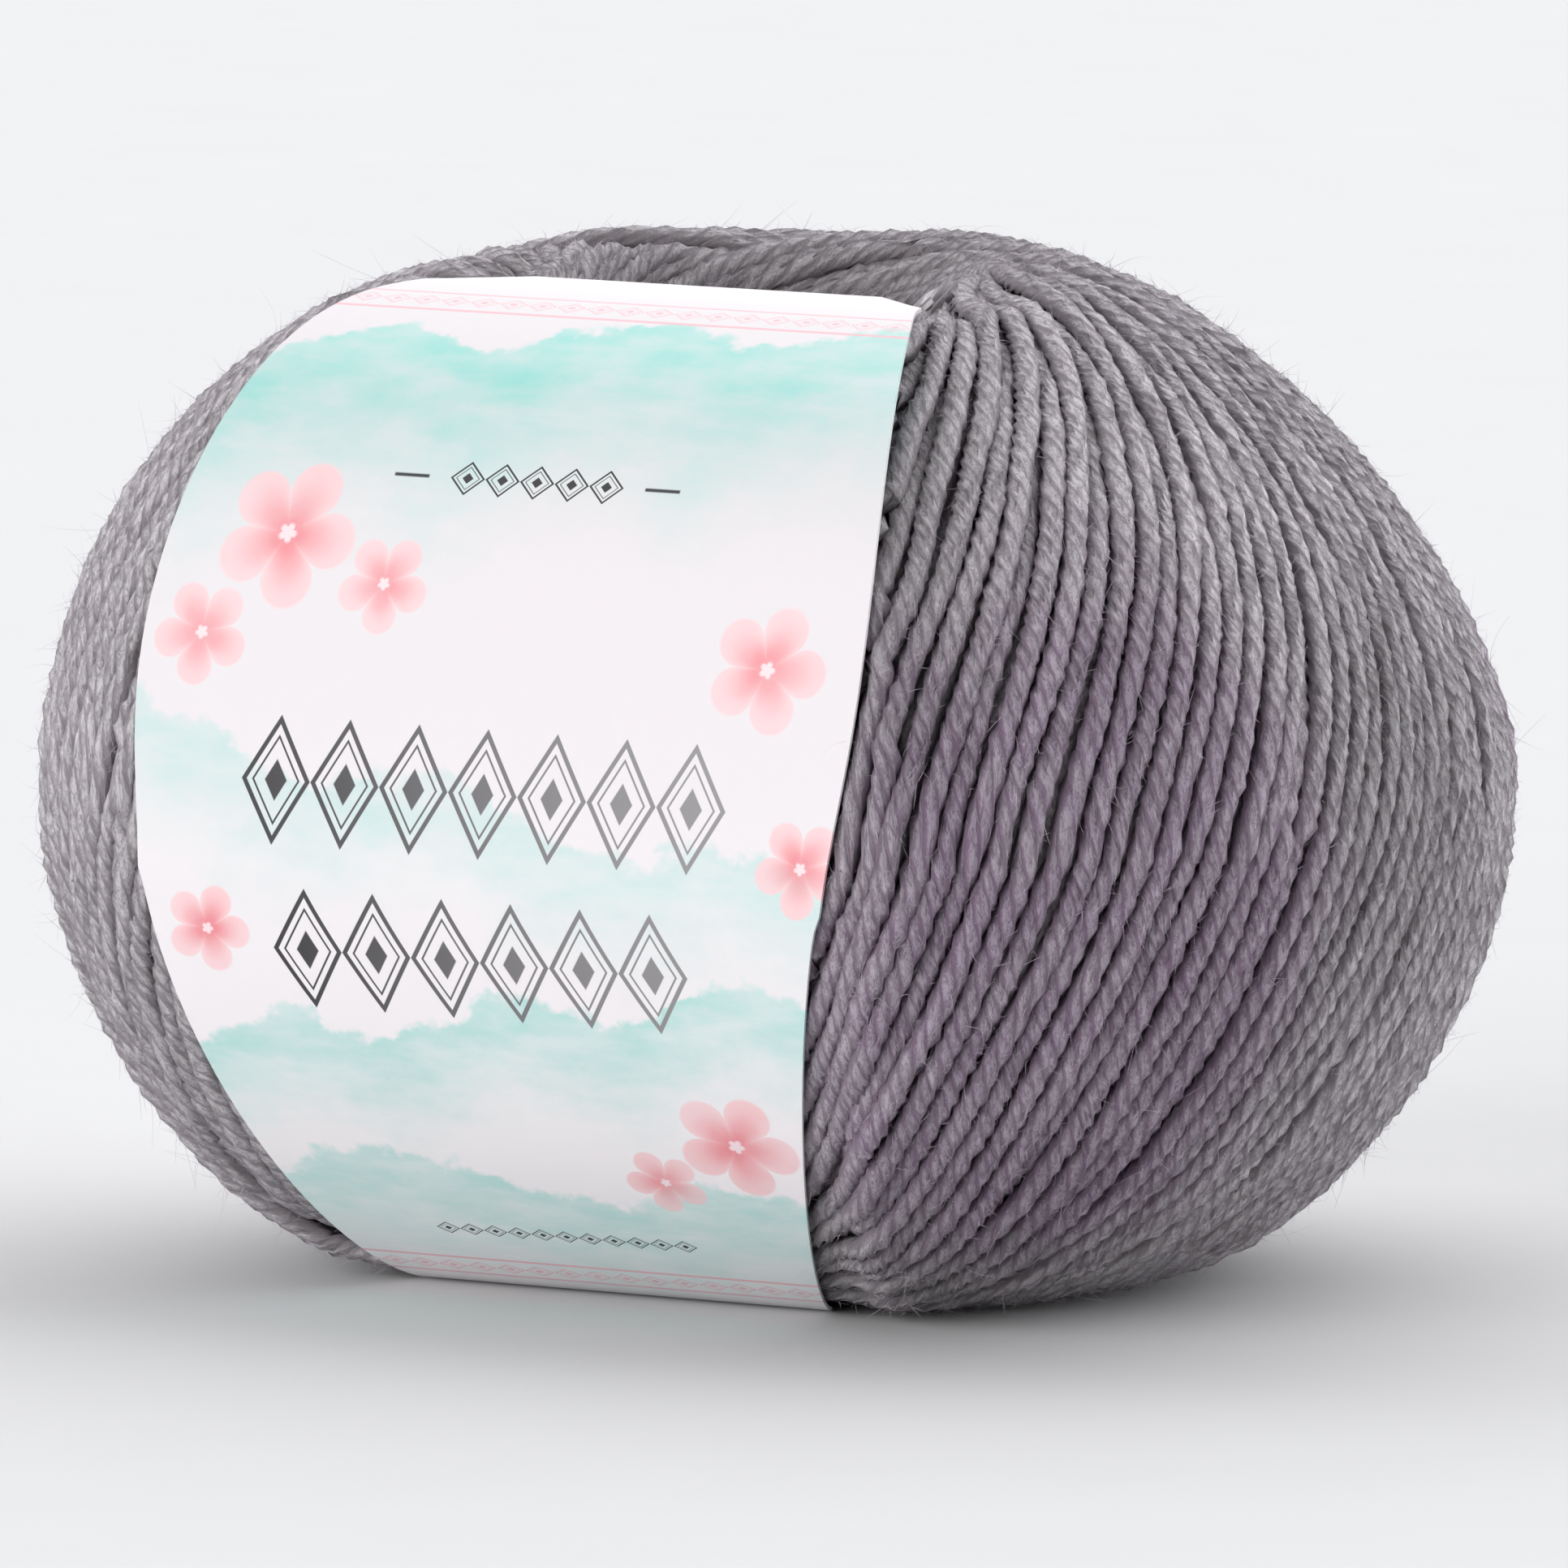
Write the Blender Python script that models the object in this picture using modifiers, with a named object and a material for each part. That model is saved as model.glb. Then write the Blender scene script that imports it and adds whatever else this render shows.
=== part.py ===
"""A ball of yarn wound round an open centre hole, with a paper band round its front.

Metres, +Z up. The winding axis is upright and the band faces -Y. The origin is on the
floor, under the middle of the ball's bounding box. The ball stands on a flat ring round
its lower mouth, and on the band where that passes under it.
"""
import math
from collections import namedtuple

import bmesh
import bpy
from mathutils import Vector
from mathutils.geometry import intersect_point_line

# An upright section through one side of the ball, or through the band's loop. "out" is
# the distance from the winding axis. A fullness of 2 makes an ellipse, more is boxier.
Section = namedtuple("Section", "side side_z top top_outer top_inner foot_outer foot_inner "
                                "hole upper_fullness lower_fullness")
Steps = namedtuple("Steps", "lower upper rim mouth hole foot")
Station = namedtuple("Station", "out z stretch")

PAPER = 0.001                     # thickness of the band
GAP = 0.0003                      # between the band and the yarn
MOUTH_DEPTH = 0.016               # how far each mouth narrows before the straight hole

BALL_RADIUS = 0.050
BALL_HEIGHT = 0.0692
HOLE_RADIUS = 0.0095
BALL = Section(side=BALL_RADIUS, side_z=0.0336, top=BALL_HEIGHT,
               top_outer=0.0172, top_inner=0.0150, foot_outer=0.0235, foot_inner=0.0165,
               hole=HOLE_RADIUS, upper_fullness=1.58, lower_fullness=1.85)
FRONT_FULLNESS = 2.5              # the yarn fills the band out: upper fullness at the front
FILLED_ANGLE = math.radians(100)  # from the front, where that has died away
BALL_STEPS = Steps(lower=9, upper=10, rim=1, mouth=6, hole=1, foot=1)

# The main turns, raised as ridges that slant up to the right all round the ball.
TURNS = 72
COLUMNS = 2 * TURNS               # a ridge and a furrow for each main turn
TURN_SLOPE = math.radians(72)     # a turn's angle to the horizontal at the widest level
RIDGE_DEPTH = 0.0009
RIDGE_FADE = 0.004                # height over the foot in which the ridges grow
LEAD_SUBSTEPS = 40

# The band: its outer face, seen from the side, is a loop round the front of the ball.
BAND_FRONT = 0.0410
BAND = Section(side=BAND_FRONT, side_z=0.0299, top=0.0681,
               top_outer=0.0200, top_inner=0.0150, foot_outer=0.0174, foot_inner=0.0150,
               hole=HOLE_RADIUS - GAP - PAPER, upper_fullness=2.43, lower_fullness=1.5)
BAND_STEPS = Steps(lower=9, upper=10, rim=2, mouth=5, hole=2, foot=1)
BAND_COLUMNS = 8
# Half the band's width at the places where it is cut to a new width.
HALF_WIDTH = {"foot_outer": 0.0153, "widest": 0.0270, "top_outer": 0.0183,
              "top_inner": 0.0130, "hole": 0.0078, "foot_inner": 0.0110}
WIDEST_SHARE = 0.60               # where the band is widest, from its foot to its top
UPPER_TAPER = 2.0                 # how late the width falls off above and below that
LOWER_TAPER = 1.45
LEAN_TOP = 0.0024                 # the band's top leans this far to +X
LEAN_FOOT = -0.0018
CURL_DEPTH = 0.015                # depth in each mouth over which the band curls round
PRESS_SLACK = 0.0004              # the yarn's flat faces cut across its curves by as much
PRESS_MARGIN = 0.0014             # the yarn beside the band that is pressed as flat
PRESS_FADE = 0.006                # and the distance over which it swells back
PRESS_PASSES = 3
PRESS_ANGLE = math.radians(82)    # from the front, where the pressing has died away
PRESS_ANGLE_FADE = math.radians(30)

AXIS_Y = (BAND_FRONT - BALL_RADIUS) / 2      # centres the bounding box on the origin

YARN_COLOR = (0.27, 0.23, 0.27, 1.0)
PAPER_COLOR = (0.86, 0.85, 0.85, 1.0)


def clear_scene():
    for item in list(bpy.data.objects):
        bpy.data.objects.remove(item, do_unlink=True)


def material(name, color, roughness):
    surface = bpy.data.materials.new(name)
    surface.use_nodes = True
    shader = surface.node_tree.nodes["Principled BSDF"]
    shader.inputs["Base Color"].default_value = color
    shader.inputs["Roughness"].default_value = roughness
    shader.inputs["Metallic"].default_value = 0.0
    return surface


def mix(start, end, share):
    return start + (end - start) * share


def smooth_step(share):
    share = min(max(share, 0.0), 1.0)
    return share * share * (3 - 2 * share)


def quarter(corner, reach, fullness, steps, rising):
    """Points of a quarter of a superellipse, without its last one.

    Rising goes from the upright end to the level end, and otherwise back.
    """
    points = []
    for step in range(steps):
        share = step / steps if rising else 1 - step / steps
        angle = share * math.pi / 2
        points.append((corner[0] + reach[0] * math.cos(angle) ** (2 / fullness),
                       corner[1] + reach[1] * math.sin(angle) ** (2 / fullness)))
    return points


def straight(start, end, steps):
    """Points along a line, without its last one."""
    return [(mix(start[0], end[0], step / steps), mix(start[1], end[1], step / steps))
            for step in range(steps)]


def section_loop(form, steps):
    """The stations once round a section: up the outside, then down through the hole."""
    neck_top = form.top - MOUTH_DEPTH
    neck_foot = MOUTH_DEPTH
    stretches = (
        ("front", quarter((form.foot_outer, form.side_z), (form.side - form.foot_outer, -form.side_z),
                          form.lower_fullness, steps.lower, rising=False)),
        ("front", quarter((form.top_outer, form.side_z),
                          (form.side - form.top_outer, form.top - form.side_z),
                          form.upper_fullness, steps.upper, rising=True)),
        ("rim", straight((form.top_outer, form.top), (form.top_inner, form.top), steps.rim)),
        ("upper_mouth", quarter((form.top_inner, neck_top), (form.hole - form.top_inner, MOUTH_DEPTH),
                                2, steps.mouth, rising=False)),
        ("hole", straight((form.hole, neck_top), (form.hole, neck_foot), steps.hole)),
        ("lower_mouth", quarter((form.foot_inner, neck_foot), (form.hole - form.foot_inner, -MOUTH_DEPTH),
                                2, steps.mouth, rising=True)),
        ("foot", straight((form.foot_inner, 0.0), (form.foot_outer, 0.0), steps.foot)),
    )
    return [Station(out, z, name) for name, points in stretches for out, z in points]


def ball_section(angle):
    """The ball's section at an angle round the axis, fuller towards the band at the front."""
    from_front = abs(math.remainder(angle + math.pi / 2, 2 * math.pi))
    share = smooth_step(from_front / FILLED_ANGLE)
    return BALL._replace(upper_fullness=mix(FRONT_FULLNESS, BALL.upper_fullness, share))


def outward_normal(loop, index):
    """The section's normal at a station, in (out, z), pointing away from the solid."""
    before = loop[index - 1]
    after = loop[(index + 1) % len(loop)]
    run = Vector((after.out - before.out, after.z - before.z)).normalized()
    return Vector((run.y, -run.x))


def curl(stretch, z):
    """0 where the band lies flat across, 1 where it follows the round of the hole."""
    depths = {"upper_mouth": BAND.top - z, "lower_mouth": z, "hole": CURL_DEPTH}
    return smooth_step(depths.get(stretch, 0.0) / CURL_DEPTH)


def lean(z):
    """How far the band's middle lies beside the plane of the axis."""
    return mix(LEAN_FOOT, LEAN_TOP, (z / BAND.top) ** 2)


# The turns: a turn of yarn keeps (distance from the axis) x cos(its slope) the same.

def lead_between(low, high):
    """The angle that a turn advances round the axis between two stations."""
    reach = BALL_RADIUS * math.cos(TURN_SLOPE)
    piece = math.hypot(high.out - low.out, high.z - low.z) / LEAD_SUBSTEPS
    lead = 0.0
    for step in range(LEAD_SUBSTEPS):
        out = mix(low.out, high.out, (step + 0.5) / LEAD_SUBSTEPS)
        lead += piece / out * reach / math.sqrt(out * out - reach * reach)
    return lead


def turn_leads(loop):
    """Each ring's angle of turning, so that the columns run along the turns of yarn.

    Through the rim, the mouths and the hole, the turns go on to half a ball further round.
    """
    widest = BALL_STEPS.lower
    rim = widest + BALL_STEPS.upper
    leads = [0.0] * len(loop)
    for index in range(widest, rim):
        leads[index + 1] = leads[index] + lead_between(loop[index], loop[index + 1])
    for index in range(widest, 0, -1):
        leads[index - 1] = leads[index] - lead_between(loop[index - 1], loop[index])
    start = leads[rim]
    end = leads[0] + math.pi
    for index in range(rim + 1, len(loop)):
        leads[index] = mix(start, end, (index - rim) / (len(loop) - rim))
    return leads


def furrow_depth(station):
    """The furrows are shallower where the turns crowd, and none are left in the hole or foot."""
    crowding = math.sqrt((station.out - HOLE_RADIUS) / (BALL_RADIUS - HOLE_RADIUS))
    return RIDGE_DEPTH * crowding * smooth_step(station.z / RIDGE_FADE)


def band_widths(loop):
    """Half the band's width at each station."""
    front = [station for station in loop if station.stretch == "front"]
    lengths = [0.0]
    for low, high in zip(front, front[1:]):
        lengths.append(lengths[-1] + math.hypot(high.out - low.out, high.z - low.z))
    widths = []
    for station, length in zip(front, lengths):
        share = length / lengths[-1]
        if share > WIDEST_SHARE:
            end = HALF_WIDTH["top_outer"]
            fall = ((share - WIDEST_SHARE) / (1 - WIDEST_SHARE)) ** UPPER_TAPER
        else:
            end = HALF_WIDTH["foot_outer"]
            fall = (1 - share / WIDEST_SHARE) ** LOWER_TAPER
        widths.append(mix(HALF_WIDTH["widest"], end, fall))
    for station in loop[len(front):]:
        widths.append(inner_half_width(station))
    return widths


def inner_half_width(station):
    """The band's cut where it runs over the rim, through the hole and under the foot."""
    ends = {
        "rim": ("top_inner", "top_outer", (station.out - BAND.top_inner)
                / (BAND.top_outer - BAND.top_inner)),
        "upper_mouth": ("hole", "top_inner", (station.out - BAND.hole)
                        / (BAND.top_inner - BAND.hole)),
        "hole": ("hole", "hole", 0.0),
        "lower_mouth": ("hole", "foot_inner", (station.out - BAND.hole)
                        / (BAND.foot_inner - BAND.hole)),
        "foot": ("foot_inner", "foot_outer", (station.out - BAND.foot_inner)
                 / (BAND.foot_outer - BAND.foot_inner)),
    }
    start, end, share = ends[station.stretch]
    return mix(HALF_WIDTH[start], HALF_WIDTH[end], share)


def nearest_on_band(place, loop, widths):
    """Signed distance outside the band's loop, the loop's normal and its half width there."""
    best = None
    for index, station in enumerate(loop):
        following = (index + 1) % len(loop)
        start = Vector((station.out, station.z))
        end = Vector((loop[following].out, loop[following].z))
        foot, share = intersect_point_line(place, start, end)
        share = min(max(share, 0.0), 1.0)
        foot = start.lerp(end, share)
        distance = (place - foot).length
        if best is None or distance < best[0]:
            run = (end - start).normalized()
            normal = Vector((run.y, -run.x))
            side = 1 if (place - foot).dot(normal) > 0 else -1
            best = (distance, side, normal, mix(widths[index], widths[following], share))
    distance, side, normal, half_width = best
    return side * distance, normal, half_width


def press_under_band(point, stretch, loop, widths):
    """Moves a point of the yarn's surface in until the band has room above it."""
    x, y, z = point
    radius = math.hypot(x, y)
    if y > 0:
        return point
    curled = curl(stretch, z)
    out = mix(-y, radius, curled)
    distance, normal, half_width = nearest_on_band(Vector((out, z)), loop, widths)
    from_front = abs(math.atan2(x, -y))
    beside = mix(abs(x - lean(z)), radius * from_front, curled)
    weight = (smooth_step((half_width + PRESS_MARGIN + PRESS_FADE - beside) / PRESS_FADE)
              * smooth_step((PRESS_ANGLE - from_front) / PRESS_ANGLE_FADE))
    excess = distance + PAPER + GAP + PRESS_SLACK
    if excess <= 0 or weight == 0:
        return point
    new_out = out - normal.x * excess * weight
    new_z = z - normal.y * excess * weight
    ratio = new_out / out
    return Vector((mix(x, x * ratio, curled), y * ratio, max(new_z, 0.0)))


def ball_rings():
    """The ball's rings of points, one for each station, with ridges and furrows in turn."""
    leads = turn_leads(section_loop(BALL, BALL_STEPS))
    band_loop = section_loop(BAND, BAND_STEPS)
    widths = band_widths(band_loop)
    rings = []
    for index, lead in enumerate(leads):
        ring = []
        for column in range(COLUMNS):
            angle = lead + column * 2 * math.pi / COLUMNS
            section = section_loop(ball_section(angle), BALL_STEPS)
            station = section[index]
            sunk = furrow_depth(station) if column % 2 else 0.0
            inward = outward_normal(section, index) * -sunk
            out = station.out + inward.x
            point = Vector((out * math.cos(angle), out * math.sin(angle), station.z + inward.y))
            for _ in range(PRESS_PASSES):
                point = press_under_band(point, station.stretch, band_loop, widths)
            ring.append(point)
        rings.append(ring)
    return rings


def band_rows():
    """The rows of points across the band's outer face, one for each station."""
    loop = section_loop(BAND, BAND_STEPS)
    rows = []
    for station, half_width in zip(loop, band_widths(loop)):
        curled = curl(station.stretch, station.z)
        row = []
        for column in range(BAND_COLUMNS + 1):
            across = half_width * (2 * column / BAND_COLUMNS - 1)
            angle = across / station.out
            x = mix(across + lean(station.z), station.out * math.sin(angle), curled)
            y = mix(-station.out, -station.out * math.cos(angle), curled)
            row.append(Vector((x, y, station.z)))
        rows.append(row)
    return rows


def loft(rows, closed_across, end_shift=0):
    """A mesh through rows of points, the last row joined to the first.

    end_shift is how many points the closing faces are shifted along the rows.
    """
    shape = bmesh.new()
    verts = [[shape.verts.new(point + Vector((0, AXIS_Y, 0))) for point in row] for row in rows]
    count = len(rows[0])
    for index, row in enumerate(verts):
        following = (index + 1) % len(verts)
        shift = end_shift if following == 0 else 0
        for column in range(count if closed_across else count - 1):
            beside = column + 1
            shape.faces.new((row[column], row[beside % count],
                             verts[following][(beside + shift) % count],
                             verts[following][(column + shift) % count]))
    mesh = bpy.data.meshes.new("loft")
    shape.to_mesh(mesh)
    shape.free()
    return mesh


def add_object(name, mesh, surface, collection):
    mesh.name = name
    mesh.materials.append(surface)
    mesh.shade_smooth()
    item = bpy.data.objects.new(name, mesh)
    collection.objects.link(item)
    return item


def add_yarn_ball(collection):
    """The wound yarn, one solid with its main turns as slanting ridges."""
    mesh = loft(ball_rings(), closed_across=True, end_shift=COLUMNS // 2)
    add_object("yarn_ball", mesh, material("yarn", YARN_COLOR, 0.95), collection)


def add_paper_band(collection):
    """The paper band, a closed loop down the front and up through the hole."""
    mesh = loft(band_rows(), closed_across=False)
    band = add_object("paper_band", mesh, material("paper", PAPER_COLOR, 0.5), collection)
    wall = band.modifiers.new("paper thickness", "SOLIDIFY")
    wall.thickness = PAPER
    wall.offset = -1
    wall.use_even_offset = True


def main():
    clear_scene()
    collection = bpy.data.collections.new("ball_of_yarn")
    bpy.context.scene.collection.children.link(collection)
    add_yarn_ball(collection)
    add_paper_band(collection)


main()
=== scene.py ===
"""Dresses the ball of yarn: plied turns, their fuzz, and the printed paper band round its front."""

import math
from collections import namedtuple
from functools import lru_cache

import bpy
import numpy as np
from mathutils import Matrix, Vector


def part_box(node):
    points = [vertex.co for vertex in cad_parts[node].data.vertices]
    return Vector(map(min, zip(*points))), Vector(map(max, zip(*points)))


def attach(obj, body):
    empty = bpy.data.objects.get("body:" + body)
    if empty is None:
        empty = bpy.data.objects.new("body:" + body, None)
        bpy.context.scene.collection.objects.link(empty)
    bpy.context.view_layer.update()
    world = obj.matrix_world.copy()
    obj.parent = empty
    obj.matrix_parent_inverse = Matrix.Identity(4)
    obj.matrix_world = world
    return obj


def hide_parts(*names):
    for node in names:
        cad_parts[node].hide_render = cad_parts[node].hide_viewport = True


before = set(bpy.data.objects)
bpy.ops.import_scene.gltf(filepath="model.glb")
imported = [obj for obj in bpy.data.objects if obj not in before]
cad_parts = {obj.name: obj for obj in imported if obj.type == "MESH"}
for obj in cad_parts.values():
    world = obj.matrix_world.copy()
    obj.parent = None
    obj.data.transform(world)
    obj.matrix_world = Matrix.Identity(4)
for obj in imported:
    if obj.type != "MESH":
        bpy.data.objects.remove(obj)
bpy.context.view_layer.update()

bl_info = {
    "name": "Ball of Yarn",
    "version": (1, 0, 0),
    "blender": (4, 5, 0),
    "location": "3D View > Sidebar > Yarn",
    "description": "Winds the plied turns of a ball of yarn and wraps its paper band",
    "category": "Add Mesh",
}

MM = 0.001
TINY = 1e-12
BODY = "root"

# The forms that the solids have. "out" is the distance from the winding axis, and a
# fullness of 2 makes an ellipse.
Section = namedtuple("Section", "side side_z top top_outer top_inner foot_outer foot_inner "
                                "hole upper_fullness lower_fullness")
MOUTH_DEPTH = 16 * MM
BALL_LOW, BALL_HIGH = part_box("yarn_ball")
BAND_LOW, BAND_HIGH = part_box("paper_band")
BALL_RADIUS = (BALL_HIGH.x - BALL_LOW.x) / 2
AXIS_Y = BALL_HIGH.y - BALL_RADIUS
BALL = Section(side=BALL_RADIUS, side_z=33.6 * MM, top=BALL_HIGH.z, top_outer=17.2 * MM,
               top_inner=15 * MM, foot_outer=23.5 * MM, foot_inner=16.5 * MM, hole=9.5 * MM,
               upper_fullness=1.58, lower_fullness=1.85)
FRONT_FULLNESS = 2.5
FILLED_ANGLE = math.radians(100)
BAND = Section(side=AXIS_Y - BAND_LOW.y, side_z=29.9 * MM, top=BAND_HIGH.z, top_outer=20 * MM,
               top_inner=15 * MM, foot_outer=17.4 * MM, foot_inner=15 * MM, hole=8.2 * MM,
               upper_fullness=2.43, lower_fullness=1.5)
HALF_WIDTH = {"foot_outer": 15.3 * MM, "widest": 27.0 * MM, "top_outer": 18.3 * MM,
              "top_inner": 13.0 * MM, "hole": 7.8 * MM, "foot_inner": 11.0 * MM}
WIDEST_SHARE = 0.60
UPPER_TAPER = 2.0
LOWER_TAPER = 1.45
LEAN_TOP = 2.4 * MM
LEAN_FOOT = -1.8 * MM
CURL_DEPTH = 15 * MM

# A place on a section is a number: the stretch that it is in, and the share of that stretch.
LOWER_MOUTH, FOOT, LOWER_SIDE, UPPER_SIDE, RIM, UPPER_MOUTH, INNER_WALL, SECTION_END = range(8)
WIDEST = UPPER_SIDE
NORMAL_NUDGE = 0.004


def smooth_step(share):
    share = np.clip(share, 0.0, 1.0)
    return share * share * (3 - 2 * share)


def mix(start, end, share):
    return start + (end - start) * share


def running_total(steps):
    return np.concatenate([[0], np.cumsum(steps)])


def quarter(corner, reach, fullness, share):
    """A quarter of a superellipse, from its upright end (share 0) to its level end (share 1)."""
    angle = np.clip(share, 0, 1) * math.pi / 2
    return (corner[0] + reach[0] * np.cos(angle) ** (2 / fullness),
            corner[1] + reach[1] * np.sin(angle) ** (2 / fullness))


def section_point(form, place, upper_fullness):
    """(out, z) at places on a section, all of them arrays of one shape."""
    share = place % 1
    pieces = (
        quarter((form.foot_inner, MOUTH_DEPTH), (form.hole - form.foot_inner, -MOUTH_DEPTH), 2, share),
        (mix(form.foot_inner, form.foot_outer, share), 0 * share),
        quarter((form.foot_outer, form.side_z), (form.side - form.foot_outer, -form.side_z),
                form.lower_fullness, 1 - share),
        quarter((form.top_outer, form.side_z), (form.side - form.top_outer, form.top - form.side_z),
                upper_fullness, share),
        (mix(form.top_outer, form.top_inner, share), form.top + 0 * share),
        quarter((form.top_inner, form.top - MOUTH_DEPTH), (form.hole - form.top_inner, MOUTH_DEPTH),
                2, 1 - share),
        (form.hole + 0 * share, mix(form.top - MOUTH_DEPTH, MOUTH_DEPTH, share)),
    )
    stretch = np.floor(place).astype(int) % SECTION_END
    out = np.choose(stretch, [piece[0] for piece in pieces])
    z = np.choose(stretch, [piece[1] for piece in pieces])
    return out, z


def fullness_at(angle):
    """The yarn fills the band out: its sections are fuller towards the front."""
    from_front = np.abs((angle + math.pi / 2 + math.pi) % math.tau - math.pi)
    return mix(FRONT_FULLNESS, BALL.upper_fullness, smooth_step(from_front / FILLED_ANGLE))


def ball_surface(angle, place):
    """Points and outward normals of the ball's outer form, in two arrays of vectors."""
    fullness = fullness_at(angle)
    out, z = section_point(BALL, place, fullness)
    before = section_point(BALL, (place - NORMAL_NUDGE) % SECTION_END, fullness)
    after = section_point(BALL, (place + NORMAL_NUDGE) % SECTION_END, fullness)
    run_out, run_z = after[0] - before[0], after[1] - before[1]
    length = np.hypot(run_out, run_z) + TINY
    normal_out, normal_z = run_z / length, -run_out / length
    points = np.stack([out * np.cos(angle), out * np.sin(angle) + AXIS_Y, z], axis=-1)
    normals = np.stack([normal_out * np.cos(angle), normal_out * np.sin(angle), normal_z], axis=-1)
    return points, normals


# The band's loop, as the solid has it, with the cut's corners eased.
BAND_SAMPLES = 420
BAND_PLACES = np.linspace(LOWER_SIDE, LOWER_SIDE + SECTION_END, BAND_SAMPLES, endpoint=False)
CORNER_PASSES = 3
CORNER_STEPS = 2
BandLoop = namedtuple("BandLoop", "out z normal_out normal_z half_width curl length")


def curl_at(place, z):
    """0 where the band lies flat across, 1 where it follows the round of the hole."""
    stretch = np.floor(place).astype(int) % SECTION_END
    depth = np.where(stretch == UPPER_MOUTH, BAND.top - z, 0.0)
    depth = np.where(stretch == LOWER_MOUTH, z, depth)
    depth = np.where(stretch == INNER_WALL, CURL_DEPTH, depth)
    return smooth_step(depth / CURL_DEPTH)


def lean(z):
    return mix(LEAN_FOOT, LEAN_TOP, (z / BAND.top) ** 2)


def front_half_width(share):
    """The cut down the front, by the share of the way from its foot to its top."""
    above = ((share - WIDEST_SHARE) / (1 - WIDEST_SHARE)).clip(0) ** UPPER_TAPER
    below = (1 - share / WIDEST_SHARE).clip(0) ** LOWER_TAPER
    return (HALF_WIDTH["widest"] + (HALF_WIDTH["top_outer"] - HALF_WIDTH["widest"]) * above
            + (HALF_WIDTH["foot_outer"] - HALF_WIDTH["widest"]) * below)


def band_loop():
    out, z = section_point(BAND, BAND_PLACES % SECTION_END, BAND.upper_fullness)
    run_out = np.roll(out, -1) - np.roll(out, 1)
    run_z = np.roll(z, -1) - np.roll(z, 1)
    run = np.hypot(run_out, run_z)
    steps = np.hypot(np.roll(out, -1) - out, np.roll(z, -1) - z)
    length = running_total(steps)
    stretch = np.floor(BAND_PLACES).astype(int) % SECTION_END
    share = BAND_PLACES % 1
    front = front_half_width(length[:-1] / length[np.searchsorted(BAND_PLACES, RIM - TINY)])
    upper_mouth = (out - BAND.hole) / (BAND.top_inner - BAND.hole)
    lower_mouth = (out - BAND.hole) / (BAND.foot_inner - BAND.hole)
    choices = {
        LOWER_SIDE: front,
        UPPER_SIDE: front,
        RIM: mix(HALF_WIDTH["top_outer"], HALF_WIDTH["top_inner"], share),
        UPPER_MOUTH: mix(HALF_WIDTH["hole"], HALF_WIDTH["top_inner"], upper_mouth),
        INNER_WALL: HALF_WIDTH["hole"] + 0 * share,
        LOWER_MOUTH: mix(HALF_WIDTH["hole"], HALF_WIDTH["foot_inner"], lower_mouth),
        FOOT: mix(HALF_WIDTH["foot_inner"], HALF_WIDTH["foot_outer"], share),
    }
    half_width = np.select([stretch == key for key in choices], list(choices.values()))
    for _ in range(CORNER_PASSES):
        half_width = (np.roll(half_width, CORNER_STEPS) + half_width
                      + np.roll(half_width, -CORNER_STEPS)) / 3
    return BandLoop(out, z, run_z / run, -run_out / run, half_width,
                    curl_at(BAND_PLACES, z), length)


BAND_LOOP = band_loop()
PAPER_ROOM = 0.45 * MM
PRESS_MARGIN = 0.8 * MM
PRESS_FADE = 5 * MM
PRESS_ANGLE = math.radians(82)
PRESS_ANGLE_FADE = math.radians(30)
PRESS_PASSES = 2
PRESS_REACH = 0.5
OUT_OF_REACH = 1.0
POINTS_AT_ONCE = 4000


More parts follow.
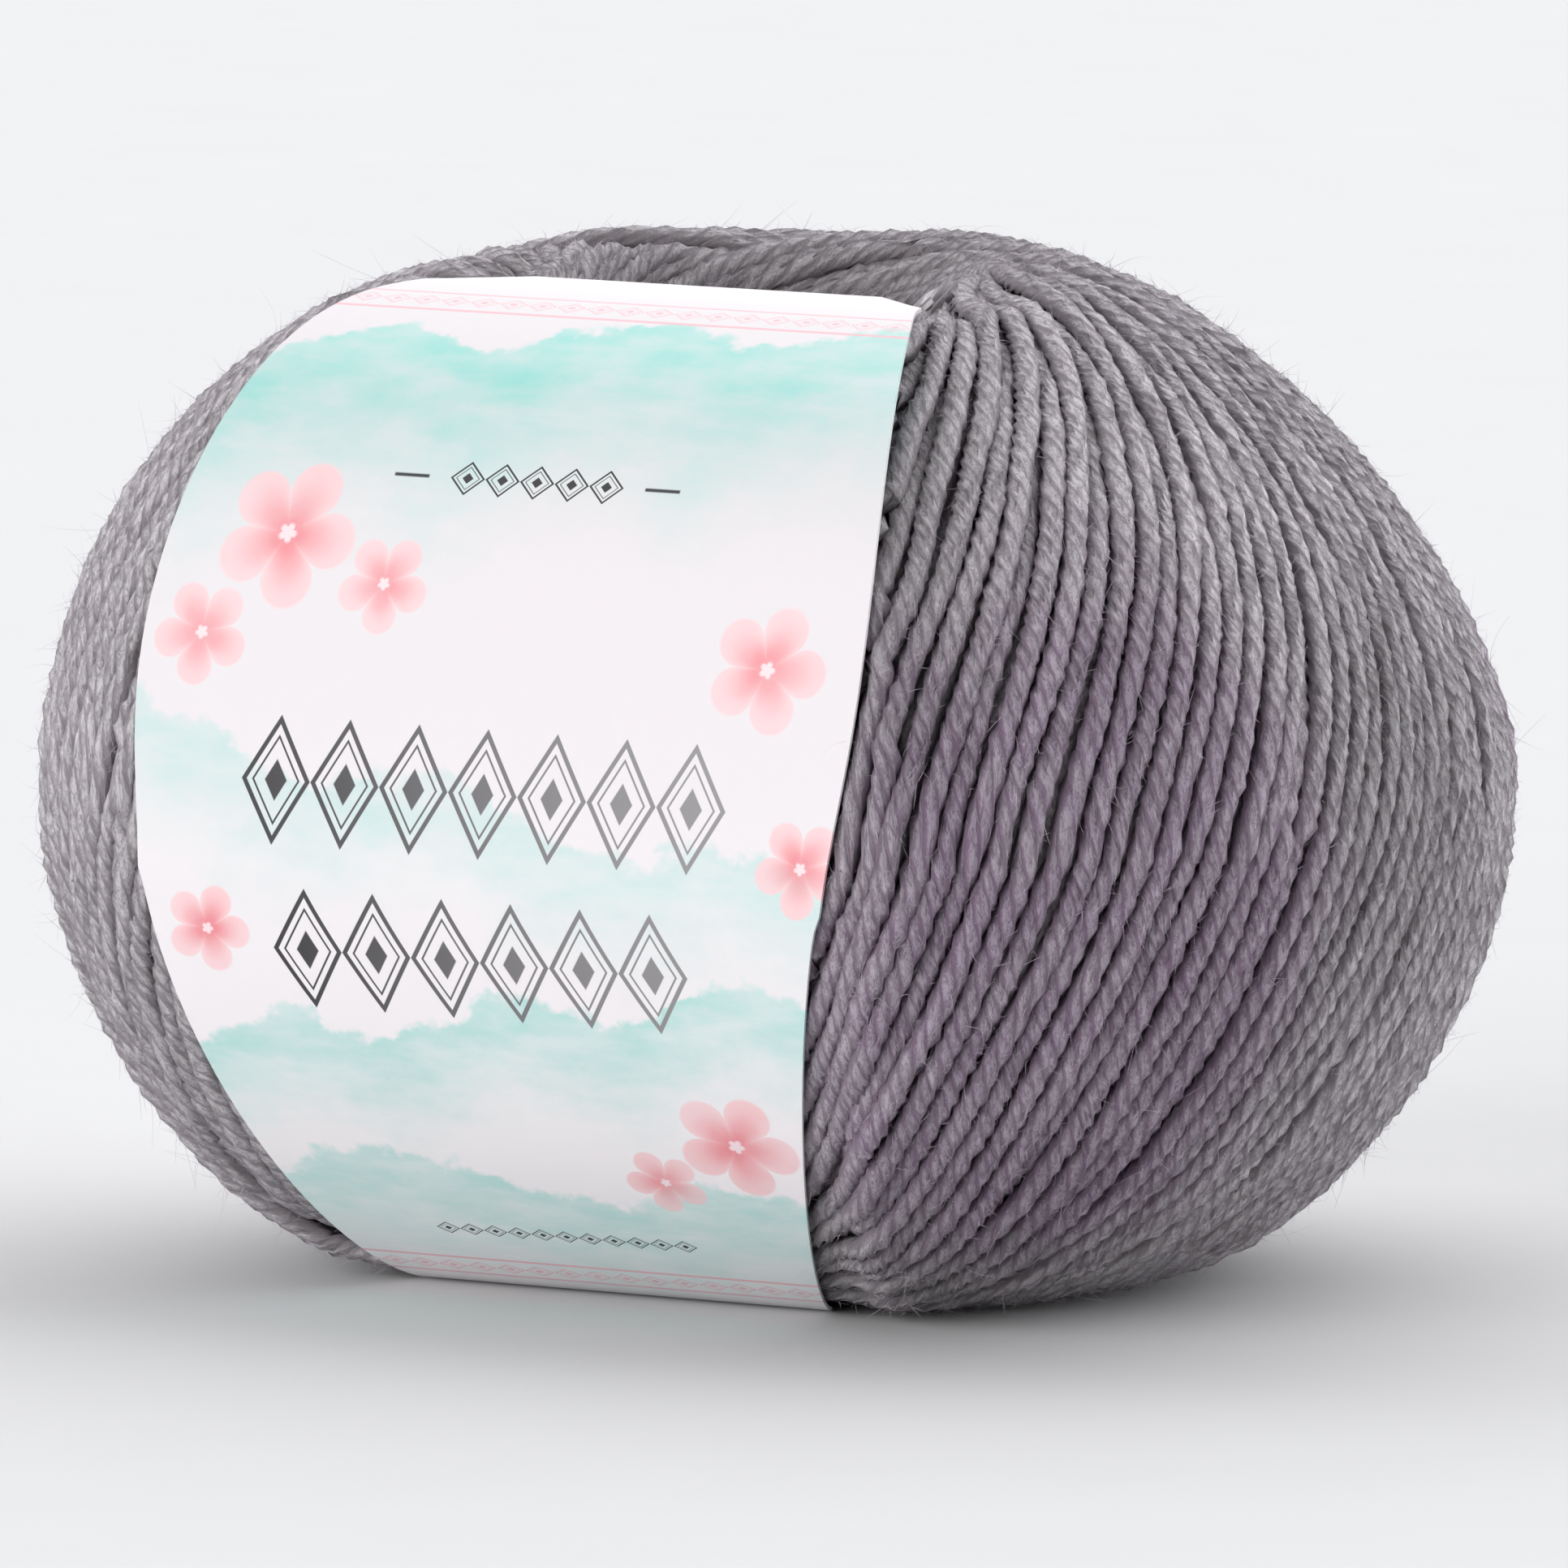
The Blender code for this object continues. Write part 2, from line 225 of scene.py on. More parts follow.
def press_under_band(points, normals, place):
    """Moves points of the yarn's surface in until they have room under the band's outer face.

    Gives the new points, the normals turned to the band's, and how much each is covered.
    """
    covered = np.zeros(len(points))
    points = points.copy()
    normals = normals.copy()
    for _ in range(PRESS_PASSES):
        x, y, z = points[:, 0], points[:, 1] - AXIS_Y, points[:, 2]
        radius = np.hypot(x, y)
        from_front = np.abs(np.arctan2(x, -y))
        near = np.flatnonzero((from_front < PRESS_ANGLE) & (y < 0))
        x, y, z, radius, from_front = (values[near] for values in (x, y, z, radius, from_front))
        curled = curl_at(place[near], z)
        out = mix(-y, radius, curled)
        nearest = np.empty(len(near), int)
        for start in range(0, len(near), POINTS_AT_ONCE):
            some = slice(start, start + POINTS_AT_ONCE)
            gap = (out[some, None] - BAND_LOOP.out) ** 2 + (z[some, None] - BAND_LOOP.z) ** 2
            stretches = np.abs((place[near][some, None] - BAND_PLACES + SECTION_END / 2) % SECTION_END
                               - SECTION_END / 2)
            nearest[some] = (gap + OUT_OF_REACH * (stretches > PRESS_REACH)).argmin(axis=1)
        normal_out = BAND_LOOP.normal_out[nearest]
        normal_z = BAND_LOOP.normal_z[nearest]
        distance = ((out - BAND_LOOP.out[nearest]) * normal_out
                    + (z - BAND_LOOP.z[nearest]) * normal_z)
        beside = mix(np.abs(x - lean(z)), radius * from_front, curled)
        half_width = BAND_LOOP.half_width[nearest]
        weight = (smooth_step((half_width + PRESS_MARGIN + PRESS_FADE - beside) / PRESS_FADE)
                  * smooth_step((PRESS_ANGLE - from_front) / PRESS_ANGLE_FADE))
        excess = (distance + PAPER_ROOM).clip(0) * weight
        ratio = (out - normal_out * excess) / out
        points[near, 0] = mix(x, x * ratio, curled)
        points[near, 1] = y * ratio + AXIS_Y
        points[near, 2] = (z - normal_z * excess).clip(0)
        covered[near] = weight * (beside < half_width)
        flat = np.stack([mix(0 * x, x / radius, curled) * normal_out, y / np.hypot(y, x * curled)
                         * normal_out, normal_z], axis=-1)
        turned = normals[near] + (flat - normals[near]) * (weight * (excess > 0))[:, None]
        normals[near] = turned / np.linalg.norm(turned, axis=1, keepdims=True)
    return points, normals, covered


# The turns. A turn keeps (distance from the axis) x cos(its slope) the same, as a taut
# thread does. They climb both ways round, and a seam parts where each way lies on top.
TURNS = 157
NEWEST = TURNS // 2
TURN_SLOPE = math.radians(72)
LEAST_SLOPE = math.radians(22)
NEWEST_ANGLE = math.radians(27.65)
OLDEST_ANGLE = NEWEST_ANGLE - math.pi
STRAND_RADIUS = 0.96 * MM
VALLEY_RADIUS = 0.70 * MM
STRAND_FLATNESS = 0.94
STRAND_DEPTH = 0.91 * MM
PLIES = 5
RING = 2 * PLIES
PLY_PITCH = 8.0 * MM
STRAND_STEP = 1.0 * MM
VISIBLE_PITCH = 1.74 * MM
SINK_SOFTNESS = 0.38
ORDER_EASE = 14 * MM
SUNK_DEPTH = 1.6 * MM
SEAM_LENGTH = 7 * MM
SEAM_TUCK = 2.5 * MM
NEWEST_RAISE = 0.25 * MM
FIRST_PLACE, LAST_PLACE = INNER_WALL - SECTION_END + 0.45, INNER_WALL + 0.55
PLACES = np.linspace(FIRST_PLACE, LAST_PLACE, 1201)
LEAST_SHOWN = 0.12
HIDDEN_STEP = 3
HIDDEN_MARGIN = 4
SlopeChange = namedtuple("SlopeChange", "place degrees")
SLOPE_CHANGES = (
    SlopeChange(FOOT + 0.9, 0), SlopeChange(LOWER_SIDE + 0.4, 8),
    SlopeChange(LOWER_SIDE + 0.55, 6), SlopeChange(LOWER_SIDE + 0.72, -1),
    SlopeChange(LOWER_SIDE + 0.93, -4), SlopeChange(UPPER_SIDE + 0.1, -8),
    SlopeChange(UPPER_SIDE + 0.2, -5), SlopeChange(UPPER_SIDE + 0.4, 1),
    SlopeChange(UPPER_SIDE + 0.6, 1), SlopeChange(UPPER_SIDE + 0.75, 0),
)
RANK_STEP = 0.6180339887
UPPER_RANK_START = 0.11
LOWER_RANK_START = 0.53
RANK_SPREAD = 0.04
NEVER_SUNK = 3
ORDER_SAMPLES = 9
UNEVEN_WAVES = 3
UNEVEN_WAVE_SPREAD = (0.6, 1.8)
DEPTH_UNEVEN, DEPTH_WAVE, DEPTH_SPREAD = 0.07 * MM, 22 * MM, 0.05 * MM
SWAY_UNEVEN, SWAY_WAVE, SWAY_SPREAD = 0.11 * MM, 30 * MM, 0.08 * MM
RISING_SEED, FALLING_SEED = 11, 23
LEAST_PLACES = 8
LEAST_RINGS = 5
PLY_PITCH_SPREAD = (0.95, 1.05)
TWIST_DRIFT, TWIST_WAVE, TWIST_WAVE_SPREAD = 0.9, 23 * MM, (0.7, 1.5)
SWELL, SWELL_WAVE, SWELL_WAVE_SPREAD = 0.03, 13 * MM, (0.6, 1.5)
THICKNESS_SPREAD = 0.03
EDGE_COVER = 0.02
COVERED_DEPTH = 0.08 * MM
FULLY_COVERED = 0.99


def turn_table():
    """For each place up the section: a turn's lead round the axis, its length, pitch and slope."""
    out, z = section_point(BALL, PLACES, BALL.upper_fullness)
    slope = np.maximum(np.arccos((BALL.side * math.cos(TURN_SLOPE) / out).clip(0, 1)), LEAST_SLOPE)
    slope += np.radians(np.interp(PLACES, [row.place for row in SLOPE_CHANGES],
                                  [row.degrees for row in SLOPE_CHANGES]))
    rise = np.hypot(np.diff(out), np.diff(z))
    middle_slope = (slope[1:] + slope[:-1]) / 2
    middle_out = (out[1:] + out[:-1]) / 2
    lead = running_total(rise / np.tan(middle_slope) / middle_out)
    length = running_total(rise / np.sin(middle_slope))
    lead -= np.interp(WIDEST, PLACES, lead)
    pitch = math.tau * out * np.sin(slope) / TURNS
    return out, lead, length, pitch, slope


def rank_of(turn, offset):
    """An evenly scattered number from 0 to 1: the turns with the highest ones sink first."""
    return (turn * RANK_STEP + offset) % 1


def waver(random, length, size, wave):
    """A slow uneven wave along each turn."""
    total = 0
    for part in range(1, UNEVEN_WAVES + 1):
        waves = wave * random.uniform(*UNEVEN_WAVE_SPREAD, (TURNS, 1)) / part
        phase = random.uniform(0, math.tau, (TURNS, 1))
        total = total + size / part * np.sin(math.tau * length / waves + phase)
    return total


def eased(values, length):
    """Rows of values averaged along the turns, over a short stretch of each."""
    steps = np.linspace(-ORDER_EASE / 2, ORDER_EASE / 2, ORDER_SAMPLES)
    near = np.stack([np.interp(length + step, length, np.arange(len(length))) for step in steps])
    low = near.astype(int).clip(0, len(length) - 2)
    share = near - low
    return (values[:, low] * (1 - share) + values[:, low + 1] * share).mean(axis=1)


def wind(rising, seed):
    """All the turns that climb one way, as arrays of turns by places: angle, depth and what is kept."""
    random = np.random.default_rng(seed)
    out, lead, length, pitch, slope = turn_table()
    turn = np.arange(TURNS) - NEWEST
    rank = np.where(PLACES > WIDEST, rank_of(turn, UPPER_RANK_START)[:, None],
                    rank_of(turn, LOWER_RANK_START)[:, None])
    rank = (rank + random.normal(0, RANK_SPREAD, (TURNS, 1))).clip(0, 1)
    rank[-NEVER_SUNK:] = 0
    share = pitch / VISIBLE_PITCH * (1 - SINK_SOFTNESS) + SINK_SOFTNESS / 2
    shown = smooth_step((share - rank * (1 - SINK_SOFTNESS)) / SINK_SOFTNESS)
    before = np.cumsum(shown, axis=0) - shown / 2
    order = eased(math.tau * (before / shown.sum(axis=0) - 0.5), length)
    if rising:
        angle = OLDEST_ANGLE + order + lead
        seam = (lead + order / 2 < 0).sum(axis=1)
        way = 1
    else:
        angle = OLDEST_ANGLE + order - lead + math.pi
        seam = (order / 2 - lead > 0).sum(axis=1)
        way = -1
    seam_length = length[seam.clip(0, len(PLACES) - 1)][:, None]
    past_seam = (length - seam_length) * way
    seam_depth = SUNK_DEPTH * (1 - smooth_step(past_seam / SEAM_LENGTH))
    depth = np.maximum(seam_depth, SUNK_DEPTH * (1 - shown))
    depth += (waver(random, length, DEPTH_UNEVEN, DEPTH_WAVE)
              + random.normal(0, DEPTH_SPREAD, (TURNS, 1)))
    depth[-1] -= NEWEST_RAISE
    sway = (waver(random, length, SWAY_UNEVEN, SWAY_WAVE)
            + random.normal(0, SWAY_SPREAD, (TURNS, 1)))
    kept = (past_seam > -SEAM_TUCK) & (shown > LEAST_SHOWN)
    return angle + sway / (out * np.sin(slope)), depth, kept, length, random


Strands = namedtuple("Strands", "centre along out side depth covered thickness phase run tone first")


@lru_cache(maxsize=None)
def wound_strands(rising):
    """The middle line and the directions of all turns that climb one way, sample after sample."""
    angle, depth, kept, length, random = wind(rising, RISING_SEED if rising else FALLING_SEED)
    columns = {key: [] for key in ("angle", "place", "depth", "run", "phase", "thickness", "tone")}
    first = [0]
    for turn in range(TURNS):
        here = np.flatnonzero(kept[turn])
        if len(here) < LEAST_PLACES:
            continue
        start, end = length[here[0]], length[here[-1]]
        run = np.linspace(start, end, max(LEAST_RINGS, int((end - start) / STRAND_STEP)))
        columns["run"].append(run)
        columns["angle"].append(np.interp(run, length, angle[turn]))
        columns["place"].append(np.interp(run, length, PLACES))
        columns["depth"].append(np.interp(run, length, depth[turn]))
        pitch = PLY_PITCH * random.uniform(*PLY_PITCH_SPREAD)
        drift = TWIST_DRIFT * np.sin(math.tau * run / (TWIST_WAVE * random.uniform(*TWIST_WAVE_SPREAD)))
        phase = -math.tau * run / pitch + drift + random.uniform(0, math.tau)
        columns["phase"].append(phase)
        swell = SWELL * np.sin(math.tau * run / (SWELL_WAVE * random.uniform(*SWELL_WAVE_SPREAD))
                               + random.uniform(0, math.tau))
        columns["thickness"].append(random.normal(1, THICKNESS_SPREAD) + swell)
        columns["tone"].append(np.full(len(run), random.uniform(0, 1)))
        first.append(first[-1] + len(run))
    column = {key: np.concatenate(values) for key, values in columns.items()}
    points, out = ball_surface(column["angle"], column["place"])
    points, out, covered = press_under_band(points, out, column["place"])
    sunk = np.maximum(column["depth"], COVERED_DEPTH)
    depth_here = np.where(covered > EDGE_COVER, sunk, column["depth"])
    centre = points - out * (STRAND_DEPTH + depth_here)[:, None]
    hidden = covered > FULLY_COVERED
    shifts = range(-HIDDEN_MARGIN, HIDDEN_MARGIN + 1)
    hidden = np.all([np.roll(hidden, shift) for shift in shifts], axis=0)
    shows = ~hidden | (np.arange(len(centre)) % HIDDEN_STEP == 0)
    shows[first[:-1]] = shows[np.array(first[1:]) - 1] = True
    first = running_total(shows)[first]
    centre, out, depth_here, covered = (values[shows] for values in (centre, out, depth_here, covered))
    column = {key: values[shows] for key, values in column.items()}
    along = np.empty_like(centre)
    for start, end in zip(first[:-1], first[1:]):
        along[start:end] = np.gradient(centre[start:end], axis=0)
    along /= np.linalg.norm(along, axis=1, keepdims=True)
    out -= along * (out * along).sum(axis=1, keepdims=True)
    out /= np.linalg.norm(out, axis=1, keepdims=True)
    return Strands(centre, along, out, np.cross(along, out), depth_here, covered,
                   column["thickness"], column["phase"], column["run"], column["tone"], first)


def new_piece(name, points, polygons):
    """A mesh object from points and from arrays of corners, one array for each number of corners."""
    mesh = bpy.data.meshes.new(name)
    mesh.vertices.add(len(points))
    mesh.vertices.foreach_set("co", points.astype(np.float32).ravel())
    corners = np.concatenate([array.ravel() for array in polygons])
    sizes = np.concatenate([np.full(len(array), array.shape[1]) for array in polygons])
    mesh.loops.add(len(corners))
    mesh.loops.foreach_set("vertex_index", corners.astype(np.int32))
    mesh.polygons.add(len(sizes))
    mesh.polygons.foreach_set("loop_start", running_total(sizes)[:-1].astype(np.int32))
    mesh.update(calc_edges=True)
    mesh.shade_smooth()
    piece = bpy.data.objects.new(name, mesh)
    bpy.context.collection.objects.link(piece)
    return piece


def add_values(piece, name, values):
    attribute = piece.data.attributes.new(name, "FLOAT", "POINT")
    attribute.data.foreach_set("value", values.astype(np.float32))


def dress_yarn(piece, material):
    """What each piece of the yarn is to the frame."""
    piece.data.materials.append(material)
    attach(piece, BODY)
    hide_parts("yarn_ball")


def ring_numbers(first, start, end):
    """The corners of a run of tubes: their sides as quads and their two ends."""
    quads, ends = [], []
    around = np.arange(RING)
    onward = (around + 1) % RING
    offset = first[start]
    for turn in range(start, end):
        rings = (np.arange(first[turn], first[turn + 1]) - offset)[:, None] * RING
        low, high = rings[:-1], rings[1:]
        quads.append(np.stack([low + around, low + onward, high + onward, high + around], axis=-1))
        ends.append(rings[0] + around[::-1])
        ends.append(rings[-1] + around)
    return np.concatenate([array.reshape(-1, 4) for array in quads]), np.stack(ends)


PLY_UNEVEN = 0.08
PLY_UNEVEN_WAVES = 3
PLY_WAVE = 3.1 * MM
SHORTEST_PLY_WAVE = 0.55
PLY_WAVE_RANGE = 0.9
PLY_WANDER = 1.2


def uneven_plies(strands, here):
    """How far each corner of each ring stands out: the plies swell and thin along the turn."""
    run = strands.run[here, None]
    tone = strands.tone[here, None]
    corner = np.arange(RING)
    total = 1.0
    for part in range(1, PLY_UNEVEN_WAVES + 1):
        stretch = PLY_WAVE_RANGE * (corner * 0.37 + part * 0.29 + tone) % 1.0
        wave = PLY_WAVE * (SHORTEST_PLY_WAVE + stretch)
        start = math.tau * ((corner * 0.618 + part * 0.41 + tone * 7.3) % 1.0)
        total = total + PLY_UNEVEN / part * np.sin(math.tau * run / wave + start)
    return total


def strand_piece(name, rising, start_share, end_share, material):
    """A share of the turns that climb one way, as plied tubes."""
    strands = wound_strands(rising)
    samples = strands.first[-1]
    start, end = np.searchsorted(strands.first, [start_share * samples, end_share * samples])
    here = slice(strands.first[start], strands.first[end])
    around = np.arange(RING) * math.tau / RING
    crest = np.where(np.arange(RING) % 2 == 0, STRAND_RADIUS, VALLEY_RADIUS)
    angle = strands.phase[here, None] + around
    reach = crest * strands.thickness[here, None] * uneven_plies(strands, here)
    points = (strands.centre[here, None, :]
              + strands.out[here, None, :] * (reach * np.cos(angle) * STRAND_FLATNESS)[..., None]
              + strands.side[here, None, :] * (reach * np.sin(angle))[..., None])
    points[..., 2] = points[..., 2].clip(0)
    quads, ends = ring_numbers(strands.first, start, end)
    piece = new_piece(name, points.reshape(-1, 3), (quads, ends))
    add_values(piece, "tone", np.repeat(strands.tone[here], RING))
    # How far each corner faces outwards; the wool paints shade on the turns' sides from it.
    add_values(piece, "open", np.cos(angle).ravel())
    run = np.repeat(strands.run[here] + strands.tone[here], RING)
    corner = np.concatenate([quads.ravel(), ends.ravel()])
    across = (corner % RING).astype(float)
    wrapped = np.zeros(quads.shape, bool)
    wrapped[:, 1:3] = (quads[:, 1:3] % RING) == 0
    across[:quads.size][wrapped.ravel()] = RING
    pattern = np.stack([across / RING * math.tau * STRAND_RADIUS / MM, run[corner] / MM], axis=-1)
    layer = piece.data.uv_layers.new(name="strand")
    layer.uv.foreach_set("vector", pattern.astype(np.float32).ravel())
    dress_yarn(piece, material)
    return piece


# The winding under the turns that show. Its colour is painted shade: it is dark, since hardly any light
# reaches it.
CORE_DEPTH = 1.55 * MM
CORE_ROUND, CORE_ACROSS = 144, 60
CORE_SAMPLES = 701
CORE_TURNS = 110


def core_piece(name, material):
    """A ring whose points are moved onto the section, a little under the turns."""
    bpy.ops.object.select_all(action="DESELECT")
    bpy.ops.mesh.primitive_torus_add(major_segments=CORE_ROUND, minor_segments=CORE_ACROSS,
                                     major_radius=BALL.side / 2, minor_radius=BALL.side / 4)
    piece = bpy.context.object
    piece.name = piece.data.name = name
    start = np.empty(len(piece.data.vertices) * 3)
    piece.data.vertices.foreach_get("co", start)
    start = start.reshape(-1, 3)
    angle = np.arctan2(start[:, 1], start[:, 0])
    across = np.arctan2(start[:, 2], np.hypot(start[:, 0], start[:, 1]) - BALL.side / 2)
    spread = np.linspace(WIDEST - SECTION_END / 2, WIDEST + SECTION_END / 2, CORE_SAMPLES)
    out, z = section_point(BALL, spread % SECTION_END, BALL.upper_fullness)
    length = running_total(np.hypot(np.diff(out), np.diff(z)))
    place = np.interp((across / math.tau + 0.5) * length[-1], length, spread) % SECTION_END
    points, normals = ball_surface(angle, place)
    points, normals, _ = press_under_band(points, normals, place)
    points -= normals * CORE_DEPTH
    _, lead, *_ = turn_table()
    wound = np.interp(np.where(place > LAST_PLACE, place - SECTION_END, place), PLACES, lead)
    add_values(piece, "turn", CORE_TURNS * (angle - wound) / math.tau)
    piece.data.vertices.foreach_set("co", points.astype(np.float32).ravel())
    piece.data.update()
    bpy.ops.object.shade_smooth()
    dress_yarn(piece, material)
    return piece


# The fibres that stand off the turns.
Fibres = namedtuple("Fibres", "name rings length width lift seed")
FIBRES = (
    Fibres(name="short_hairs", rings=1, length=0.45 * MM, width=0.045 * MM, lift=0.35, seed=29),
    Fibres(name="bridging_hairs", rings=1, length=1.0 * MM, width=0.04 * MM, lift=0.25, seed=43),
    Fibres(name="loose_hairs", rings=2, length=0.85 * MM, width=0.035 * MM, lift=0.4, seed=31),
    Fibres(name="stray_hairs", rings=5, length=1.9 * MM, width=0.028 * MM, lift=0.7, seed=37),
)
FUZZ_SIDES = 3
SUNK_BARE = 0.7 * MM
COVERED_BARE = 0.05
SIDEWAYS_SPREAD, MOST_SIDEWAYS = 0.75, 1.5
HAIR_ROOT, HAIR_SCATTER = 0.80, 0.5
HAIR_ALONG, HAIR_LIFT = (0.3, 1.0), (0.25, 1.0)
HAIR_STRAY, HAIR_BEND, HAIR_DROOP, HAIR_TAPER = 0.25, 0.8, 0.5, 0.6
LENGTH_SPREAD, LENGTH_LIMITS = 0.45, (0.4, 2.4)


def fibres_piece(kind, count, material):
    """Thin tapered hairs that leave the turns at a slant and bend as they go."""
    random = np.random.default_rng(kind.seed)
    parts = [wound_strands(True), wound_strands(False)]
    bare = [(part.covered > COVERED_BARE) | (part.depth > SUNK_BARE) for part in parts]
    joined = {key: np.concatenate([getattr(part, key)[~hidden] for part, hidden in zip(parts, bare)])
              for key in ("centre", "along", "out", "side")}
    pick = random.integers(0, len(joined["centre"]), count)
    centre, along, out, side = (joined[key][pick] for key in ("centre", "along", "out", "side"))
    lean_out = random.normal(0, SIDEWAYS_SPREAD, count).clip(-MOST_SIDEWAYS, MOST_SIDEWAYS)
    away = out * np.cos(lean_out)[:, None] + side * np.sin(lean_out)[:, None]
    scatter = random.uniform(-HAIR_SCATTER, HAIR_SCATTER, (count, 1))
    start = centre + away * HAIR_ROOT * MM + along * scatter * MM
    way = np.where(random.random(count) < 0.5, -1.0, 1.0)[:, None]
    heading = (along * way * random.uniform(*HAIR_ALONG, (count, 1))
               + away * (kind.lift * random.uniform(*HAIR_LIFT, (count, 1)))
               + random.normal(0, HAIR_STRAY, (count, 3)))
    heading /= np.linalg.norm(heading, axis=1, keepdims=True)
    bend = random.normal(0, HAIR_BEND, (count, 3)) - away * HAIR_DROOP
    reach = kind.length * random.lognormal(0, LENGTH_SPREAD, count).clip(*LENGTH_LIMITS)
    share = np.linspace(0, 1, kind.rings + 1)[:, None, None]
    line = start + (heading * share + bend * share ** 2 / 2) * reach[:, None]
    across_a = np.cross(heading, away)
    across_a /= np.linalg.norm(across_a, axis=1, keepdims=True)
    across_b = np.cross(heading, across_a)
    angle = np.arange(FUZZ_SIDES) * math.tau / FUZZ_SIDES
    taper = kind.width / 2 * (1 - HAIR_TAPER * share[:-1, :, 0])
    circle = (across_a[:, None, :] * np.cos(angle)[:, None]
              + across_b[:, None, :] * np.sin(angle)[:, None])
    rims = line[:-1, :, None, :] + circle * taper[..., None, None]
    rims = rims.transpose(1, 0, 2, 3).reshape(count, -1, 3)
    points = np.concatenate([rims, line[-1][:, None, :]], axis=1)
    points[..., 2] = points[..., 2].clip(0)
    per_hair = kind.rings * FUZZ_SIDES + 1
    base = (np.arange(count) * per_hair)[:, None, None]
    ring = (np.arange(kind.rings - 1) * FUZZ_SIDES)[:, None]
    here = np.arange(FUZZ_SIDES)
    onward = (here + 1) % FUZZ_SIDES
    quads = np.stack([ring + here, ring + onward, ring + FUZZ_SIDES + onward, ring + FUZZ_SIDES + here],
                     axis=-1).reshape(1, (kind.rings - 1) * FUZZ_SIDES, 4) + base
    last = (kind.rings - 1) * FUZZ_SIDES
    tips = np.stack([last + here, last + onward, np.full(FUZZ_SIDES, per_hair - 1)], axis=-1)
    roots = here[::-1].reshape(1, -1)
    triangles = np.concatenate([tips, roots])[None] + base
    piece = new_piece(kind.name, points.reshape(-1, 3), (quads.reshape(-1, 4), triangles.reshape(-1, 3)))
    add_values(piece, "tone", np.repeat(random.uniform(0, 1, count), per_hair))
    dress_yarn(piece, material)
    return piece


# The paper band.
PAPER = 0.25 * MM
BAND_STEP = 1.0 * MM
BAND_COLUMNS = 28
MERGED_GAP = 0.01 * MM
SMOOTH_ANGLE = math.radians(40)


def band_piece(name, material):
    """A flat grid of paper, bent round the front, the foot, the hole and the rim."""
    loop_length = BAND_LOOP.length[-1]
    rows = round(loop_length / BAND_STEP)
    bpy.ops.object.select_all(action="DESELECT")
    bpy.ops.mesh.primitive_grid_add(x_subdivisions=BAND_COLUMNS, y_subdivisions=rows, size=2)
    piece = bpy.context.object
    piece.name = piece.data.name = name
    flat = np.empty(len(piece.data.vertices) * 3)
    piece.data.vertices.foreach_get("co", flat)
    flat = flat.reshape(-1, 3)
    run = (flat[:, 1] + 1) / 2 * loop_length

    def at(values):
        return np.interp(run, BAND_LOOP.length, np.append(values, values[0]))

    out, z, curl = at(BAND_LOOP.out), at(BAND_LOOP.z), at(BAND_LOOP.curl)
    across = flat[:, 0] * at(BAND_LOOP.half_width)
    angle = across / out
    points = np.stack([mix(across + lean(z), out * np.sin(angle), curl),
                       AXIS_Y - mix(out, out * np.cos(angle), curl), z], axis=-1)
    piece.data.vertices.foreach_set("co", points.astype(np.float32).ravel())
    corner = np.empty(len(piece.data.loops), np.int32)
    piece.data.loops.foreach_get("vertex_index", corner)
    layer = piece.data.uv_layers[0]
    layer.name = "print"
    pattern = np.stack([across, run], axis=-1)[corner] / MM
    layer.uv.foreach_set("vector", pattern.astype(np.float32).ravel())
    piece.data.update()
    bpy.ops.object.mode_set(mode="EDIT")
    bpy.ops.mesh.select_all(action="SELECT")
    bpy.ops.mesh.remove_doubles(threshold=MERGED_GAP)
    bpy.ops.mesh.normals_make_consistent(inside=False)
    bpy.ops.object.mode_set(mode="OBJECT")
    solidify = piece.modifiers.new("paper", "SOLIDIFY")
    solidify.thickness = PAPER
    solidify.offset = -1
    bpy.ops.object.modifier_apply(modifier="paper")
    bpy.ops.object.shade_smooth_by_angle(angle=SMOOTH_ANGLE)
    piece.data.materials.append(material)
    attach(piece, BODY)
    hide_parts("paper_band")
    return piece


